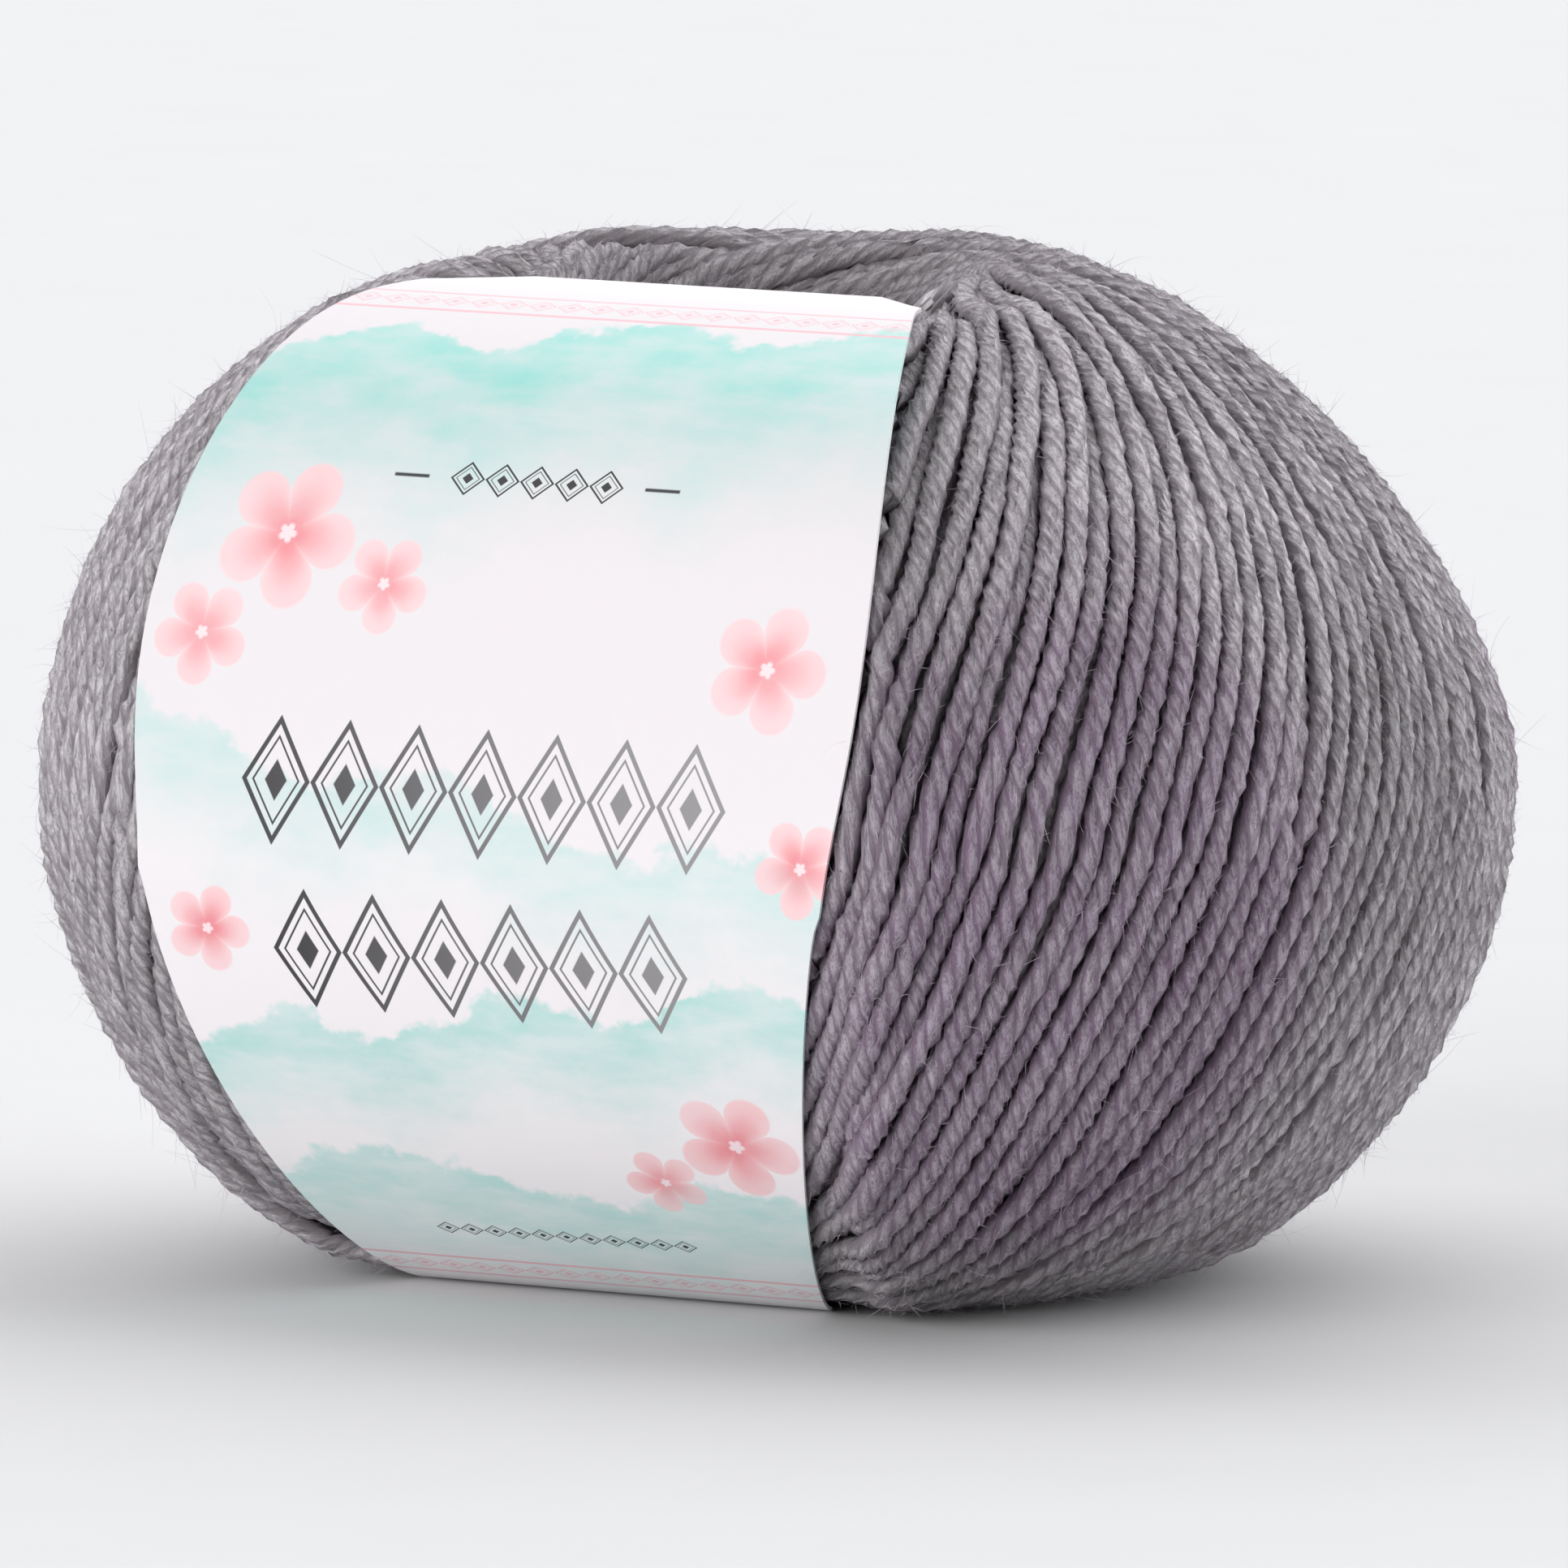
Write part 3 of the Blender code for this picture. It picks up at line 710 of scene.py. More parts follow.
# Materials.
class Shader:
    """A node material built by calls that each add one node and give back its output."""

    def __init__(self, name):
        self.material = bpy.data.materials.new(name)
        self.material.use_nodes = True
        self.tree = self.material.node_tree
        self.surface = self.tree.nodes["Principled BSDF"]

    def node(self, kind, output=0, settings=None, **inputs):
        node = self.tree.nodes.new("ShaderNode" + kind)
        for key, value in (settings or {}).items():
            setattr(node, key, value)
        for key, value in inputs.items():
            self.join(value, node.inputs[int(key[1:]) if key[1:].isdigit() else key.replace("_", " ")])
        return node.outputs[output]

    def join(self, value, socket):
        if isinstance(value, bpy.types.NodeSocket):
            self.tree.links.new(value, socket)
        else:
            socket.default_value = value

    def math(self, operation, first, second=0.0, third=0.0):
        return self.node("Math", settings={"operation": operation}, i0=first, i1=second, i2=third)

    def blend(self, share, first, second, blend_type="MIX"):
        return self.node("Mix", output=2, settings={"data_type": "RGBA", "blend_type": blend_type},
                         i0=share, i6=first, i7=second)

    def ramp(self, value, start, end, low=0.0, high=1.0, smooth=True):
        kind = "SMOOTHSTEP" if smooth else "LINEAR"
        return self.node("MapRange", settings={"interpolation_type": kind}, i0=value, i1=start, i2=end,
                         i3=low, i4=high)

    def noise(self, vector, scale, detail=2.0, roughness=0.5, distortion=0.0):
        return self.node("TexNoise", i0=vector, i2=scale, i3=detail, i4=roughness, Distortion=distortion)

    def stretched(self, vector, scale, place=(0, 0, 0)):
        return self.node("Mapping", Vector=vector, Scale=scale, Location=place)

    def gap(self, value, middle):
        return self.math("ABSOLUTE", self.math("SUBTRACT", value, middle))

    def fall(self, value, start, end):
        """1 up to the start, and 0 from the end on."""
        return self.ramp(value, start, end, 1.0, 0.0)

    def bump(self, height, distance):
        return self.node("Bump", Height=height, Distance=distance)

    def attribute(self, name):
        return self.node("Attribute", output=2, settings={"attribute_name": name})

    def finish(self, **inputs):
        for key, value in inputs.items():
            self.join(value, self.surface.inputs[key.replace("_", " ")])
        return self.material


Patch = namedtuple("Patch", "azimuth height reach amount out", defaults=(1.0, BALL.side))
MAUVE_PATCHES = (
    Patch(azimuth=52, height=24 * MM, reach=23 * MM),
    Patch(azimuth=128, height=42 * MM, reach=15 * MM, amount=0.5),
    Patch(azimuth=-150, height=26 * MM, reach=22 * MM, amount=0.5),
    Patch(azimuth=-72, height=12 * MM, reach=15 * MM, amount=0.3),
)
PATCH_UPRIGHT = 1.5
PATCH_UNEVEN = 9 * MM
MAUVE_EDGE = (0.75, 1.3)
# Where the patches of painted light and shade on the wool fade out, as shares of their reach.
LIGHT_AND_SHADE_EDGE = (0.5, 1.5)
PLY_RELIEF, STRAY_RELIEF, CORE_RELIEF = 1.4, 0.8, 1.5
WOOL_BUMP, CORE_BUMP, PAPER_BUMP = 0.2 * MM, 0.5 * MM, 0.008 * MM
# Painted light and shade on the wool: the first patch lightens its top, and the others darken it on the
# right, at the foot, in the mouth and at the back.
LIGHT_AND_SHADE_PATCHES = (
    Patch(azimuth=72, height=64 * MM, reach=24 * MM, amount=1.27),
    Patch(azimuth=87, height=39 * MM, reach=14 * MM, amount=0.70),
    Patch(azimuth=61, height=42 * MM, reach=11 * MM, amount=0.82),
    Patch(azimuth=72, height=18 * MM, reach=13 * MM, amount=0.88),
    Patch(azimuth=34, height=44 * MM, reach=13 * MM, amount=0.82),
    Patch(azimuth=45, height=0.0, reach=17 * MM, amount=0.68, out=28 * MM),
    Patch(azimuth=190, height=20 * MM, reach=26 * MM, amount=0.86),
    Patch(azimuth=0, height=66 * MM, reach=21 * MM, amount=0.70, out=0.0),
)
# The wool's painted shade, as a share of its light colour, where it is grey and where it is mauve.
GREY_SHADE = (0.47, 0.44, 0.46, 1.0)
MAUVE_SHADE = (0.47, 0.37, 0.46, 1.0)
HAIR_COLOR = (0.56, 0.50, 0.57, 1.0)
# The inner winding's colours; the dark one is painted shade.
CORE_SHADE, CORE_LIGHT = (0.10, 0.09, 0.10, 1), (0.50, 0.465, 0.495, 1)


def patch_amount(wool, squeezed, drift, patch, edge, outside):
    """A patch's amount in its middle, and the outside's past its edge, which is a little uneven."""
    middle = direction(math.radians(patch.azimuth), 0.0) * patch.out + Vector((0, AXIS_Y, 0))
    middle.z = patch.height / PATCH_UPRIGHT
    away = wool.node("VectorMath", output="Value", settings={"operation": "DISTANCE"},
                     i0=squeezed, i1=middle)
    away = wool.math("MULTIPLY_ADD", drift, PATCH_UNEVEN, away)
    return wool.ramp(away, patch.reach * edge[0], patch.reach * edge[1], patch.amount, outside)


def wool_material(name, settings):
    """Fine fibres along the plies, with painted shade between the plies and on the turns' sides, and a
    slow drift from mauve to grey.
    """
    wool = Shader(name)
    along = wool.node("UVMap", settings={"uv_map": "strand"})
    place = wool.node("TexCoord", output=3)
    fibres = wool.noise(wool.stretched(along, (3.6, 1.8, 1.0)), 1.0, detail=5.0, roughness=0.75,
                        distortion=1.2)
    stray = wool.noise(wool.node("Mapping", Vector=along, Scale=(9.0, 3.0, 1.0), Rotation=(0, 0, 0.6)),
                       1.0, detail=3.0, roughness=0.7, distortion=0.8)
    tufts = wool.noise(wool.stretched(along, (1.2, 0.6, 1.0)), 1.0, detail=2.0)
    wander = wool.noise(wool.stretched(along, (0.5, 0.4, 1.0), (3.1, 0.7, 0.0)), 1.0, detail=2.0)
    across = wool.node("SeparateXYZ", output=0, Vector=along)
    across = wool.math("MULTIPLY_ADD", wander, PLY_WANDER, across)
    ply_angle = wool.math("MULTIPLY", across, PLIES / 2 * MM / STRAND_RADIUS)
    ply = wool.math("POWER", wool.math("ABSOLUTE", wool.math("COSINE", ply_angle)), 1.5)
    drift = wool.noise(place, 90.0, detail=2.0)
    squeezed = wool.stretched(place, (1.0, 1.0, 1 / PATCH_UPRIGHT))
    mauve = 0.0
    for patch in MAUVE_PATCHES:
        share = patch_amount(wool, squeezed, drift, patch, MAUVE_EDGE, 0.0)
        mauve = wool.math("MAXIMUM", share, mauve)
    mottled = wool.ramp(wool.noise(place, 210.0, detail=3.0), 0.36, 0.58, 0.70, 1.0)
    mauve = wool.math("MULTIPLY", mauve, mottled)
    light = wool.blend(mauve, settings.grey, settings.mauve)
    # Painted shade: the wool's dark colour, greyer or more mauve, is what it turns to where shade falls.
    depth = wool.blend(mauve, GREY_SHADE, MAUVE_SHADE)
    dark = wool.blend(1.0, light, depth, "MULTIPLY")
    # The ply ramp paints shade in the valleys between the plies and the open ramp paints shade on each
    # turn's sides; the fibre, stray and tuft ramps are the wool's own grain.
    shade = wool.ramp(fibres, 0.37, 0.63, 0.2, 1.45)
    shade = wool.math("MULTIPLY", shade, wool.ramp(stray, 0.36, 0.64, 0.45, 1.3))
    shade = wool.math("MULTIPLY", shade, wool.ramp(ply, 0.0, 0.85, 0.12, 1.25))
    shade = wool.math("MULTIPLY", shade, wool.ramp(tufts, 0.3, 0.7, 0.65, 1.25))
    shade = wool.math("MULTIPLY", shade, wool.ramp(wool.attribute("open"), 0.2, 0.9, 0.15, 1.1))
    color = wool.blend(shade, dark, light)
    tone = wool.ramp(wool.attribute("tone"), 0.0, 1.0, 0.93, 1.06, smooth=False)
    # Painted light and shade: these patches scale each turn's random tone, lighter at the top and darker
    # on the right, at the foot, in the mouth and at the back.
    for patch in LIGHT_AND_SHADE_PATCHES:
        tone = wool.math("MULTIPLY", tone, patch_amount(wool, squeezed, drift, patch, LIGHT_AND_SHADE_EDGE, 1.0))
    color = wool.node("HueSaturation", Value=tone, Color=color)
    height = wool.math("MULTIPLY_ADD", ply, PLY_RELIEF, fibres)
    height = wool.math("MULTIPLY_ADD", stray, STRAY_RELIEF, height)
    normal = wool.bump(height, WOOL_BUMP)
    return wool.finish(Base_Color=color, Roughness=0.9, Normal=normal, Specular_IOR_Level=0.2,
                       Sheen_Weight=0.15, Sheen_Roughness=0.5, Sheen_Tint=(0.9, 0.86, 0.92, 1.0))


def fuzz_material(name):
    """Single hairs, a little lighter than the turns that they stand on."""
    hair = Shader(name)
    tone = hair.attribute("tone")
    place = hair.node("TexCoord", output=3)
    speck = hair.noise(place, 900.0, detail=1.0)
    value = hair.ramp(hair.math("ADD", tone, speck), 0.4, 1.5, 0.8, 1.35, smooth=False)
    color = hair.node("HueSaturation", Value=value, Color=HAIR_COLOR)
    return hair.finish(Base_Color=color, Roughness=0.75, Specular_IOR_Level=0.3)


def core_material(name):
    """The winding deep between the turns, in painted shade: dark all over and darker between its own
    turns.
    """
    core = Shader(name)
    place = core.node("TexCoord", output=3)
    fibres = core.noise(core.stretched(place, (1300.0, 1300.0, 500.0)), 1.0, detail=4.0, roughness=0.7)
    turn = core.math("MULTIPLY", core.attribute("turn"), math.pi)
    turn = core.math("ABSOLUTE", core.math("SINE", turn))
    # Painted shade: the winding darkens between its turns and towards its dark colour.
    shade = core.math("MULTIPLY", core.ramp(fibres, 0.35, 0.65, 0.3, 1.0), core.ramp(turn, 0.0, 0.7))
    color = core.blend(shade, CORE_SHADE, CORE_LIGHT)
    height = core.math("MULTIPLY_ADD", turn, CORE_RELIEF, fibres)
    return core.finish(Base_Color=color, Roughness=1.0, Specular_IOR_Level=0.1,
                       Normal=core.bump(height, CORE_BUMP))


# The print, in millimetres across the paper and along it from the foot.
FRONT_LENGTH = float(np.interp(RIM, BAND_PLACES, BAND_LOOP.length[:-1])) / MM
Wash = namedtuple("Wash", "middle half slope wave phase strength")
WASHES = (
    Wash(middle=FRONT_LENGTH - 17, half=8.0, slope=0.10, wave=19, phase=0.6, strength=1.0),
    Wash(middle=FRONT_LENGTH - 47, half=4.0, slope=-0.16, wave=23, phase=2.4, strength=0.5),
    Wash(middle=27.0, half=4.5, slope=0.14, wave=17, phase=1.2, strength=0.8),
    Wash(middle=9.0, half=8.0, slope=-0.06, wave=25, phase=4.0, strength=0.7),
)
Blossom = namedtuple("Blossom", "across run size turn")
BLOSSOMS = (
    Blossom(across=-17.5, run=FRONT_LENGTH - 26, size=5.2, turn=0.3),
    Blossom(across=-22.5, run=FRONT_LENGTH - 33, size=3.6, turn=1.0),
    Blossom(across=-9.5, run=FRONT_LENGTH - 29, size=3.4, turn=0.7),
    Blossom(across=20.0, run=FRONT_LENGTH - 33, size=4.4, turn=0.1),
    Blossom(across=24.0, run=43.0, size=3.4, turn=0.9),
    Blossom(across=16.5, run=21.5, size=4.6, turn=0.5),
    Blossom(across=10.0, run=17.5, size=3.0, turn=1.3),
    Blossom(across=-20.5, run=36.0, size=3.2, turn=0.2),
)
MINT = (0.31, 0.70, 0.645, 1.0)
CORAL = (0.86, 0.27, 0.30, 1.0)
BLUSH = (0.95, 0.62, 0.64, 1.0)
PALE_PINK = (0.93, 0.74, 0.77, 1.0)
BORDER_PINK = (0.86, 0.50, 0.55, 1.0)
CHARCOAL = (0.035, 0.033, 0.036, 1.0)
SILVER = (0.30, 0.29, 0.30, 1.0)
PRINT_EDGE = 0.06
# Painted light: whiter paper towards the band's foot, where the front faces down, away from the light.
PAINTED_LIGHT_PAPER = (0.93, 0.90, 0.92, 1.0)
PAINTED_LIGHT_RUN = (18.0, 62.0)
# Painted shade: the paper darkens towards the rim, where it turns up into the light.
RIM_SHADE_RUN = (FRONT_LENGTH - 13, FRONT_LENGTH)
RIM_SHADE = 0.79
WASH_WAVE = 1.4
WASH_RAGGED = 7.0
WASH_TOP = (2.6, 3.6)
WASH_FADE = 3.2
PETALS = 5
PETAL_ROUNDNESS = 0.55
INK_RUN = (-20.0, 20.0)
DiamondRow = namedtuple("DiamondRow", "middle pitch half_height half_width shift", defaults=(0.0,))
LARGE_ROWS = (
    DiamondRow(middle=FRONT_LENGTH - 42.5, pitch=5.2, half_height=4.4, half_width=18.2),
    DiamondRow(middle=FRONT_LENGTH - 54.0, pitch=5.2, half_height=4.4, half_width=15.6, shift=2.6),
)
SMALL_ROW = DiamondRow(middle=FRONT_LENGTH - 21.5, pitch=2.6, half_height=1.2, half_width=6.5)
DASH_MIDDLE, DASH_HALF, DASH_WEIGHT = 9.4, 1.3, 0.12
FOOT_ROW = DiamondRow(middle=10.5, pitch=1.8, half_height=0.7, half_width=9.9)
BORDERS = (
    DiamondRow(middle=FRONT_LENGTH - 6.0, pitch=2.2, half_height=0.8, half_width=40.0),
    DiamondRow(middle=5.0, pitch=2.2, half_height=0.8, half_width=40.0),
)
BORDER_LINES, BORDER_WEIGHT = (-1.4, 1.4), 0.13
DIAMOND_LINE = 0.085
DIAMOND_OUTLINE, DIAMOND_INNER, DIAMOND_HEART = 0.92, 0.66, (0.30, 0.34)


def line(paper, value, middle, half):
    """1 within "half" of the middle, with the print's slightly soft edge."""
    return paper.fall(paper.gap(value, middle), half - PRINT_EDGE, half + PRINT_EDGE)


def both(paper, *masks):
    """Where all the masks are."""
    result = masks[0]
    for mask in masks[1:]:
        result = paper.math("MULTIPLY", result, mask)
    return result


def diamond_row(paper, across, run, row):
    """A row of outlined diamonds with a smaller one in each, as on patterned knitting."""
    shifted = paper.math("ADD", across, row.shift)
    sideways = paper.math("DIVIDE", paper.math("PINGPONG", shifted, row.pitch / 2), row.pitch / 2)
    upward = paper.math("DIVIDE", paper.gap(run, row.middle), row.half_height)
    ring = paper.math("ADD", sideways, upward)
    outline = paper.fall(paper.gap(ring, DIAMOND_OUTLINE), DIAMOND_LINE * 0.7, DIAMOND_LINE)
    inner = paper.fall(paper.gap(ring, DIAMOND_INNER), DIAMOND_LINE * 0.25, DIAMOND_LINE * 0.5)
    marks = paper.math("MAXIMUM", outline, inner)
    marks = paper.math("MAXIMUM", marks, paper.fall(ring, *DIAMOND_HEART))
    return both(paper, marks, line(paper, across, 0.0, row.half_width),
                line(paper, run, row.middle, row.half_height))


def blossom(paper, across, run, row):
    """Five rounded petals: where they are, and how far each point is from their middle."""
    sideways = paper.math("SUBTRACT", across, row.across)
    upward = paper.math("SUBTRACT", run, row.run)
    angle = paper.math("MULTIPLY_ADD", paper.math("ARCTAN2", upward, sideways), PETALS / 2, row.turn)
    petal = paper.math("POWER", paper.math("ABSOLUTE", paper.math("COSINE", angle)), PETAL_ROUNDNESS)
    edge = paper.math("MULTIPLY_ADD", petal, row.size / 2, row.size / 2)
    squares = paper.math("MULTIPLY_ADD", sideways, sideways, paper.math("MULTIPLY", upward, upward))
    reach = paper.math("DIVIDE", paper.math("SQRT", squares), edge)
    return paper.fall(reach, 0.95, 1.03), reach


def wash_density(paper, across, run, ragged, pigment, wash):
    """A watery band with a ragged top, thinner towards its foot."""
    wave = paper.math("SINE", paper.math("MULTIPLY_ADD", across, math.tau / wash.wave, wash.phase))
    middle = paper.math("MULTIPLY_ADD", across, wash.slope, wash.middle)
    middle = paper.math("MULTIPLY_ADD", wave, WASH_WAVE, middle)
    above = paper.math("MULTIPLY_ADD", ragged, WASH_RAGGED, paper.math("SUBTRACT", run, middle))
    top = paper.fall(above, wash.half + WASH_TOP[0], wash.half + WASH_TOP[1])
    fade = paper.ramp(above, -wash.half, wash.half + WASH_FADE)
    density = both(paper, top, fade, paper.ramp(pigment, 0.25, 0.75, 0.45, 1.0))
    return paper.math("MULTIPLY", density, wash.strength)


def paper_material(name, settings):
    """Smooth coated paper with its print: washes, blossoms, rows of diamonds and fine borders."""
    paper = Shader(name)
    flat = paper.node("UVMap", settings={"uv_map": "print"})
    across = paper.node("SeparateXYZ", output=0, Vector=flat)
    run = paper.node("SeparateXYZ", output=1, Vector=flat)
    grain = paper.noise(flat, 14.0, detail=4.0, roughness=0.6)
    pigment = paper.noise(paper.stretched(flat, (0.16, 0.42, 1.0)), 1.0, detail=5.0, roughness=0.6)
    ragged = paper.noise(paper.stretched(flat, (0.22, 0.22, 1.0)), 1.0, detail=4.0, roughness=0.6)
    # Painted light: the paper is whiter towards its foot and fades to its own colour further up.
    bare = paper.blend(paper.ramp(run, *PAINTED_LIGHT_RUN), PAINTED_LIGHT_PAPER, settings.paper)
    color = paper.blend(paper.ramp(grain, 0.3, 0.7, 0.0, 0.12), bare, PALE_PINK)
    for wash in WASHES:
        density = wash_density(paper, across, run, ragged, pigment, wash)
        color = paper.blend(density, color, settings.wash)
    for row in BLOSSOMS:
        mask, reach = blossom(paper, across, run, row)
        tint = paper.blend(paper.ramp(reach, 0.1, 0.95), CORAL, BLUSH)
        tint = paper.blend(paper.fall(reach, 0.10, 0.16), tint, PALE_PINK)
        density = paper.math("MULTIPLY", mask, paper.ramp(ragged, 0.3, 0.7, 0.72, 1.0))
        color = paper.blend(density, color, tint)
    ink = paper.blend(paper.ramp(across, *INK_RUN), CHARCOAL, SILVER)
    for row in LARGE_ROWS:
        color = paper.blend(diamond_row(paper, across, run, row), color, ink)
    dashes = both(paper, line(paper, run, SMALL_ROW.middle, DASH_WEIGHT),
                  line(paper, paper.math("ABSOLUTE", across), DASH_MIDDLE, DASH_HALF))
    marks = paper.math("MAXIMUM", diamond_row(paper, across, run, SMALL_ROW), dashes)
    marks = paper.math("MAXIMUM", marks, diamond_row(paper, across, run, FOOT_ROW))
    color = paper.blend(marks, color, CHARCOAL)
    for row in BORDERS:
        beads = diamond_row(paper, across, run, row)
        for offset in BORDER_LINES:
            beads = paper.math("MAXIMUM", beads, line(paper, run, row.middle + offset, BORDER_WEIGHT))
        color = paper.blend(beads, color, BORDER_PINK)
    # Painted shade on the paper towards the rim.
    rim = paper.ramp(run, *RIM_SHADE_RUN, 1.0, RIM_SHADE)
    color = paper.node("HueSaturation", Value=rim, Color=color)
    return paper.finish(Base_Color=color, Roughness=0.42, Specular_IOR_Level=0.4,
                        Normal=paper.bump(grain, PAPER_BUMP))


# The stage.
PHOTO_WIDTH = 1932
CAMERA_AZIMUTH = math.radians(27.65)
CAMERA_ELEVATION = math.radians(7.0)
CAMERA_ROLL = math.radians(0.4)
CAMERA_DISTANCE = 1.5
PIXELS_PER_METRE = 18193.0
TARGET = Vector((0.0, AXIS_Y, 34.5 * MM))
TARGET_PIXEL = (958.0, 935.5)
SENSOR = 36.0
FLOOR_SIZE = 8.0
FLOOR_DARK, FLOOR_LIGHT = (0.67, 0.67, 0.675, 1), (0.69, 0.69, 0.695, 1)
STUDIO_COLOR = (0.98, 0.985, 1.0, 1)
STUDIO_BRIGHT, STUDIO_DIM, STUDIO_VIEW = 2.08, 0.13, 0.82
DIM_AZIMUTH, DIM_ELEVATION = math.radians(10), math.radians(24)
DIM_START, DIM_END = 0.19, 0.50
SUN_AZIMUTH, SUN_ELEVATION = math.radians(-22), math.radians(8)
SUN_POWER, SUN_SPREAD = 3.0, math.radians(60)


def direction(azimuth, elevation):
    """From the object towards the side that is "azimuth" right of its front, and up."""
    level = math.cos(elevation)
    return Vector((math.sin(azimuth) * level, -math.cos(azimuth) * level, math.sin(elevation)))


def camera_piece():
    """The photo's view: its angle, its size in the picture and its place there."""
    data = bpy.data.cameras.new("photo_camera")
    data.sensor_width = SENSOR
    data.lens = SENSOR * CAMERA_DISTANCE * PIXELS_PER_METRE / PHOTO_WIDTH
    data.shift_x = (PHOTO_WIDTH / 2 - TARGET_PIXEL[0]) / PHOTO_WIDTH
    data.shift_y = (TARGET_PIXEL[1] - PHOTO_WIDTH / 2) / PHOTO_WIDTH
    data.clip_start, data.clip_end = 0.01, 20
    camera = bpy.data.objects.new("photo_camera", data)
    bpy.context.collection.objects.link(camera)
    away = direction(CAMERA_AZIMUTH, CAMERA_ELEVATION)
    camera.location = TARGET + away * CAMERA_DISTANCE
    turn = away.to_track_quat("Z", "Y").to_matrix()
    camera.rotation_euler = (turn @ Matrix.Rotation(CAMERA_ROLL, 3, "Z")).to_euler()
    bpy.context.scene.camera = camera


def stage_material():
    stage = Shader("stage")
    place = stage.node("TexCoord", output=3)
    fine = stage.noise(place, 60.0, detail=2.0)
    color = stage.blend(fine, FLOOR_DARK, FLOOR_LIGHT)
    return stage.finish(Base_Color=color, Roughness=0.8, Specular_IOR_Level=0.0)


def studio_light():
    """Light from all round, weaker from the side that the camera stands on, and a plain pale view."""
    world = bpy.data.worlds.new("studio")
    world.use_nodes = True
    tree = world.node_tree
    tree.nodes.clear()
    looking = tree.nodes.new("ShaderNodeTexCoord").outputs["Generated"]
    facing = tree.nodes.new("ShaderNodeVectorMath")
    facing.operation = "DOT_PRODUCT"
    tree.links.new(looking, facing.inputs[0])
    facing.inputs[1].default_value = direction(DIM_AZIMUTH, DIM_ELEVATION)
    fade = tree.nodes.new("ShaderNodeMapRange")
    fade.interpolation_type = "SMOOTHSTEP"
    for number, value in ((1, DIM_START), (2, DIM_END), (3, STUDIO_BRIGHT), (4, STUDIO_DIM)):
        fade.inputs[number].default_value = value
    tree.links.new(facing.outputs["Value"], fade.inputs[0])
    seen = tree.nodes.new("ShaderNodeLightPath").outputs["Is Camera Ray"]
    choose = tree.nodes.new("ShaderNodeMix")
    tree.links.new(seen, choose.inputs[0])
    tree.links.new(fade.outputs[0], choose.inputs[2])
    choose.inputs[3].default_value = STUDIO_VIEW
    background = tree.nodes.new("ShaderNodeBackground")
    background.inputs["Color"].default_value = STUDIO_COLOR
    tree.links.new(choose.outputs[0], background.inputs["Strength"])
    output = tree.nodes.new("ShaderNodeOutputWorld")
    tree.links.new(background.outputs[0], output.inputs[0])
    bpy.context.scene.world = world
    bpy.context.scene.view_settings.view_transform = "Standard"


def stage_pieces():
    """A plain pale floor, the studio light, a soft sun and the camera."""
    bpy.ops.object.select_all(action="DESELECT")
    bpy.ops.mesh.primitive_plane_add(size=FLOOR_SIZE, location=(0, 0, 0))
    floor = bpy.context.object
    floor.name = "floor"
    floor.data.materials.append(stage_material())
    studio_light()
    sun = bpy.data.lights.new("window", "SUN")
    sun.energy, sun.angle = SUN_POWER, SUN_SPREAD
    light = bpy.data.objects.new("window", sun)
    bpy.context.collection.objects.link(light)
    light.rotation_euler = direction(SUN_AZIMUTH, SUN_ELEVATION).to_track_quat("Z", "Y").to_euler()
    camera_piece()


# Settings, operators and the panel.
class YarnSettings(bpy.types.PropertyGroup):
    """The wool's colours and its fuzz."""
    mauve: bpy.props.FloatVectorProperty(
        name="Mauve", description="The wool's colour where it is warm", subtype="COLOR", size=4,
        default=(0.565, 0.47, 0.58, 1.0), min=0.0, max=1.0)
    grey: bpy.props.FloatVectorProperty(
        name="Grey", description="The wool's colour where it is plain", subtype="COLOR", size=4,
        default=(0.81, 0.775, 0.805, 1.0), min=0.0, max=1.0)
    short_hairs: bpy.props.IntProperty(
        name="Short Hairs", description="How many short fibres lie along the turns",
        default=48000, min=0, max=49000)
    bridging_hairs: bpy.props.IntProperty(
        name="Bridging Hairs", description="How many fibres lie across the furrows between the turns",
        default=18000, min=0, max=49000)
    loose_hairs: bpy.props.IntProperty(
        name="Loose Hairs", description="How many longer fibres stand off the turns",
        default=15000, min=0, max=19000)
    stray_hairs: bpy.props.IntProperty(
        name="Stray Hairs", description="How many long fibres stray from the turns",
        default=3000, min=0, max=6000)


class BandSettings(bpy.types.PropertyGroup):
    """The paper band's colours."""
    paper: bpy.props.FloatVectorProperty(
        name="Paper", description="The bare paper's colour", subtype="COLOR", size=4,
        default=(0.79, 0.755, 0.775, 1.0), min=0.0, max=1.0)
    wash: bpy.props.FloatVectorProperty(
        name="Wash", description="The colour of the watery bands across the paper", subtype="COLOR",
        size=4, default=MINT, min=0.0, max=1.0)


class YARN_OT_inner_winding(bpy.types.Operator):
    """Adds the winding under the turns that show, painted dark as shade"""
    bl_idname = "yarn.inner_winding"
    bl_label = "Inner Winding"

    def execute(self, context):
        core_piece("inner_winding", core_material("inner_wool"))
        return {"FINISHED"}


class YARN_OT_turns(bpy.types.Operator):
    """Winds the plied turns, first the ones that rise and then the ones that fall"""
    bl_idname = "yarn.turns"
    bl_label = "Turns"

    def execute(self, context):
        wool = wool_material("wool", context.scene.yarn_settings)
        for name, rising in (("rising_turns", True), ("falling_turns", False)):
            strand_piece(name + "_older", rising, 0.0, 0.5, wool)
            strand_piece(name + "_newer", rising, 0.5, 1.0, wool)
        return {"FINISHED"}


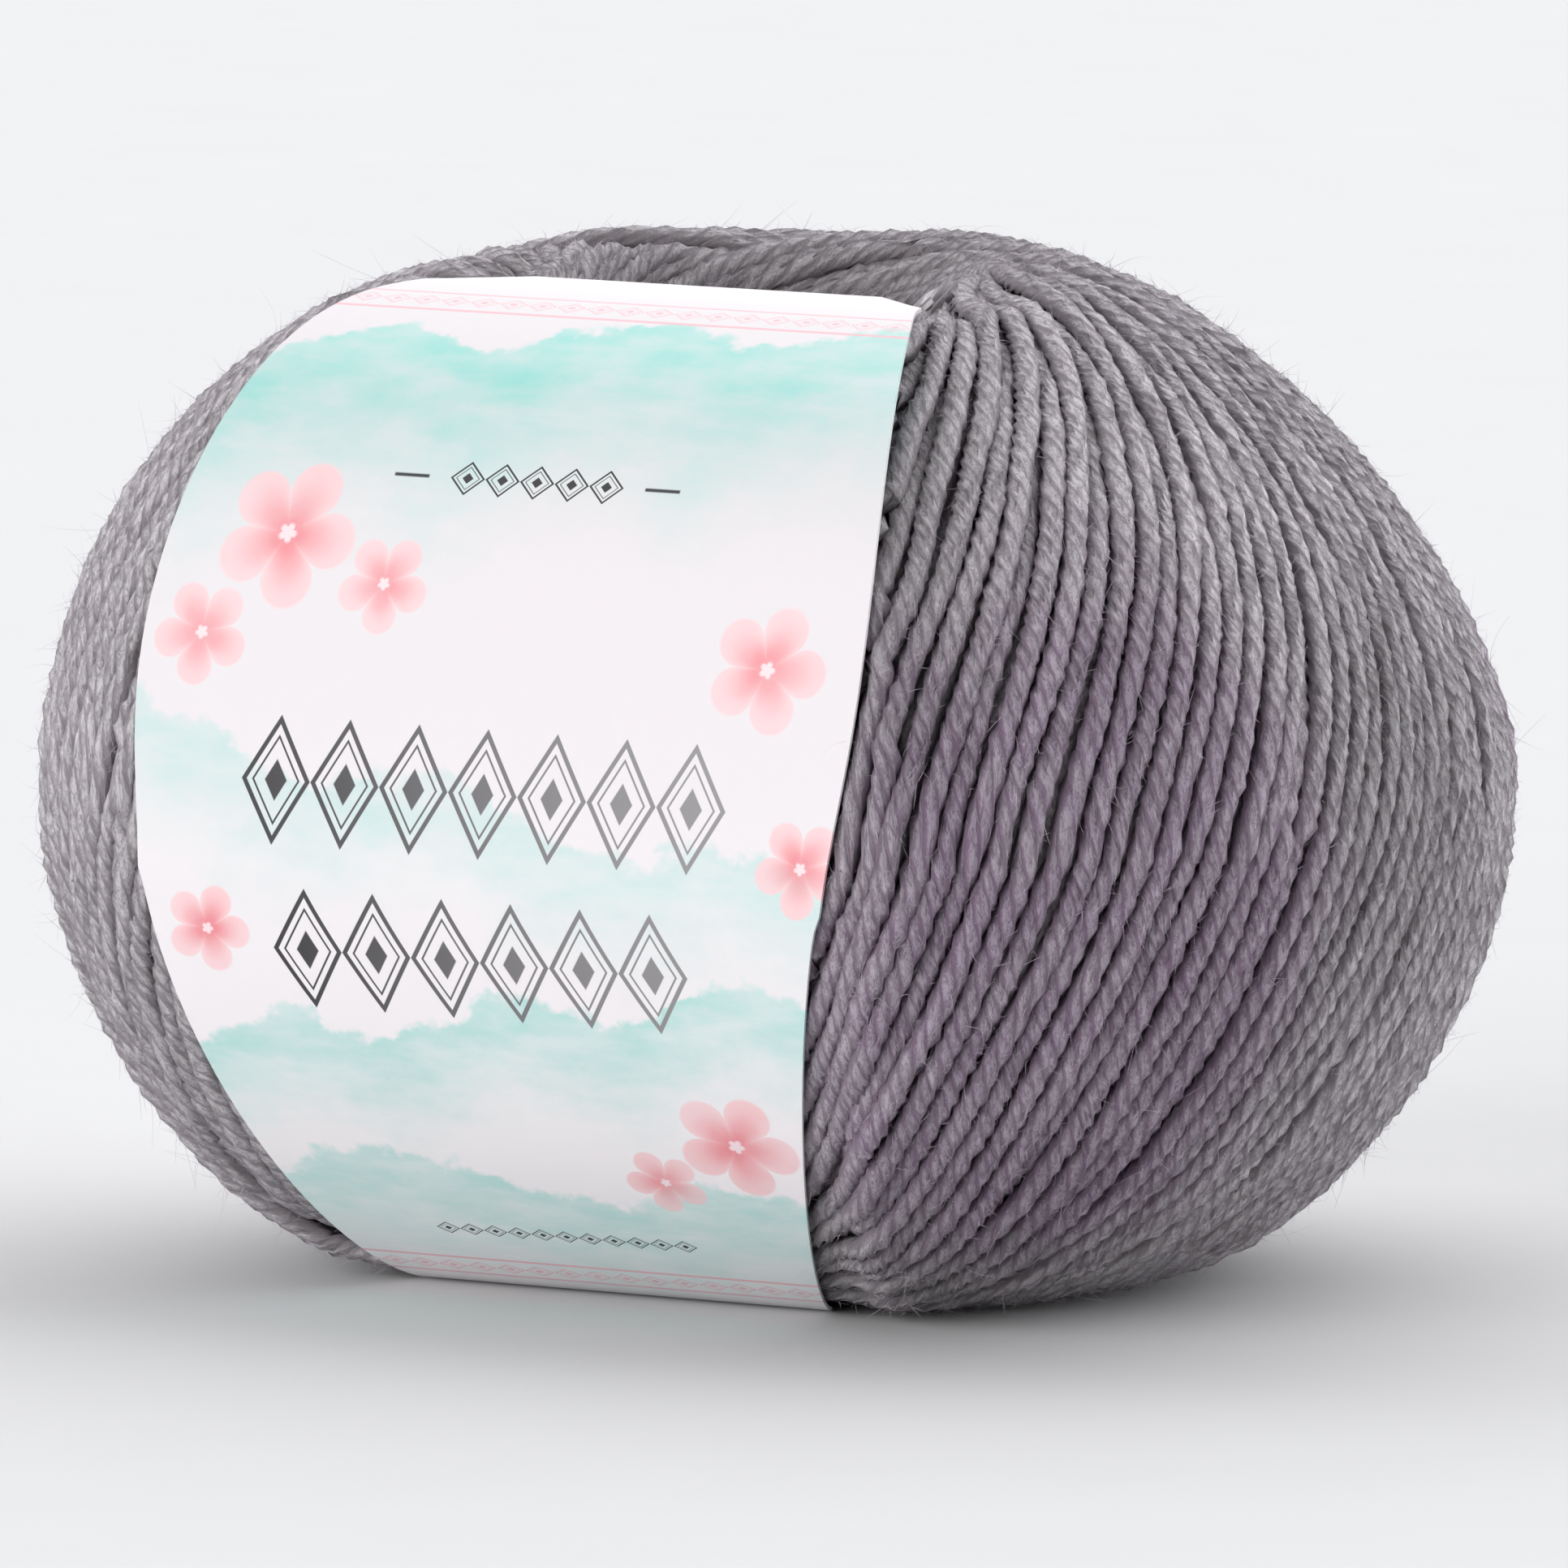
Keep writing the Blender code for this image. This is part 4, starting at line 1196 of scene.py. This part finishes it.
class YARN_OT_fuzz(bpy.types.Operator):
    """Adds the short fibres and the stray hairs"""
    bl_idname = "yarn.fuzz"
    bl_label = "Fuzz"

    def execute(self, context):
        hair = fuzz_material("hair")
        for kind in FIBRES:
            fibres_piece(kind, getattr(context.scene.yarn_settings, kind.name), hair)
        return {"FINISHED"}


class YARN_OT_paper_band(bpy.types.Operator):
    """Wraps the printed paper band round the front, the foot, the hole and the rim"""
    bl_idname = "yarn.paper_band"
    bl_label = "Paper Band"

    def execute(self, context):
        band_piece("printed_band", paper_material("printed_paper", context.scene.band_settings))
        return {"FINISHED"}


class YARN_OT_stage(bpy.types.Operator):
    """Lays the floor, the lights and the camera"""
    bl_idname = "yarn.stage"
    bl_label = "Stage"

    def execute(self, context):
        stage_pieces()
        return {"FINISHED"}


class YARN_PT_panel(bpy.types.Panel):
    """Lists the pieces of the ball"""
    bl_idname = "YARN_PT_panel"
    bl_label = "Ball of Yarn"
    bl_space_type = "VIEW_3D"
    bl_region_type = "UI"
    bl_category = "Yarn"

    def draw(self, context):
        for group in (context.scene.yarn_settings, context.scene.band_settings):
            for name in group.bl_rna.properties.keys():
                if name not in ("rna_type", "name"):
                    self.layout.prop(group, name)
        for operator in OPERATORS:
            self.layout.operator(operator.bl_idname)


OPERATORS = (YARN_OT_inner_winding, YARN_OT_turns, YARN_OT_fuzz, YARN_OT_paper_band, YARN_OT_stage)
CLASSES = (YarnSettings, BandSettings) + OPERATORS + (YARN_PT_panel,)


def register():
    for item in CLASSES:
        bpy.utils.register_class(item)
    bpy.types.Scene.yarn_settings = bpy.props.PointerProperty(type=YarnSettings)
    bpy.types.Scene.band_settings = bpy.props.PointerProperty(type=BandSettings)


def unregister():
    del bpy.types.Scene.band_settings
    del bpy.types.Scene.yarn_settings
    for item in reversed(CLASSES):
        bpy.utils.unregister_class(item)


def main():
    register()
    bpy.ops.yarn.inner_winding()
    bpy.ops.yarn.turns()
    bpy.ops.yarn.fuzz()
    bpy.ops.yarn.paper_band()
    bpy.ops.yarn.stage()


if __name__ == "__main__":
    main()
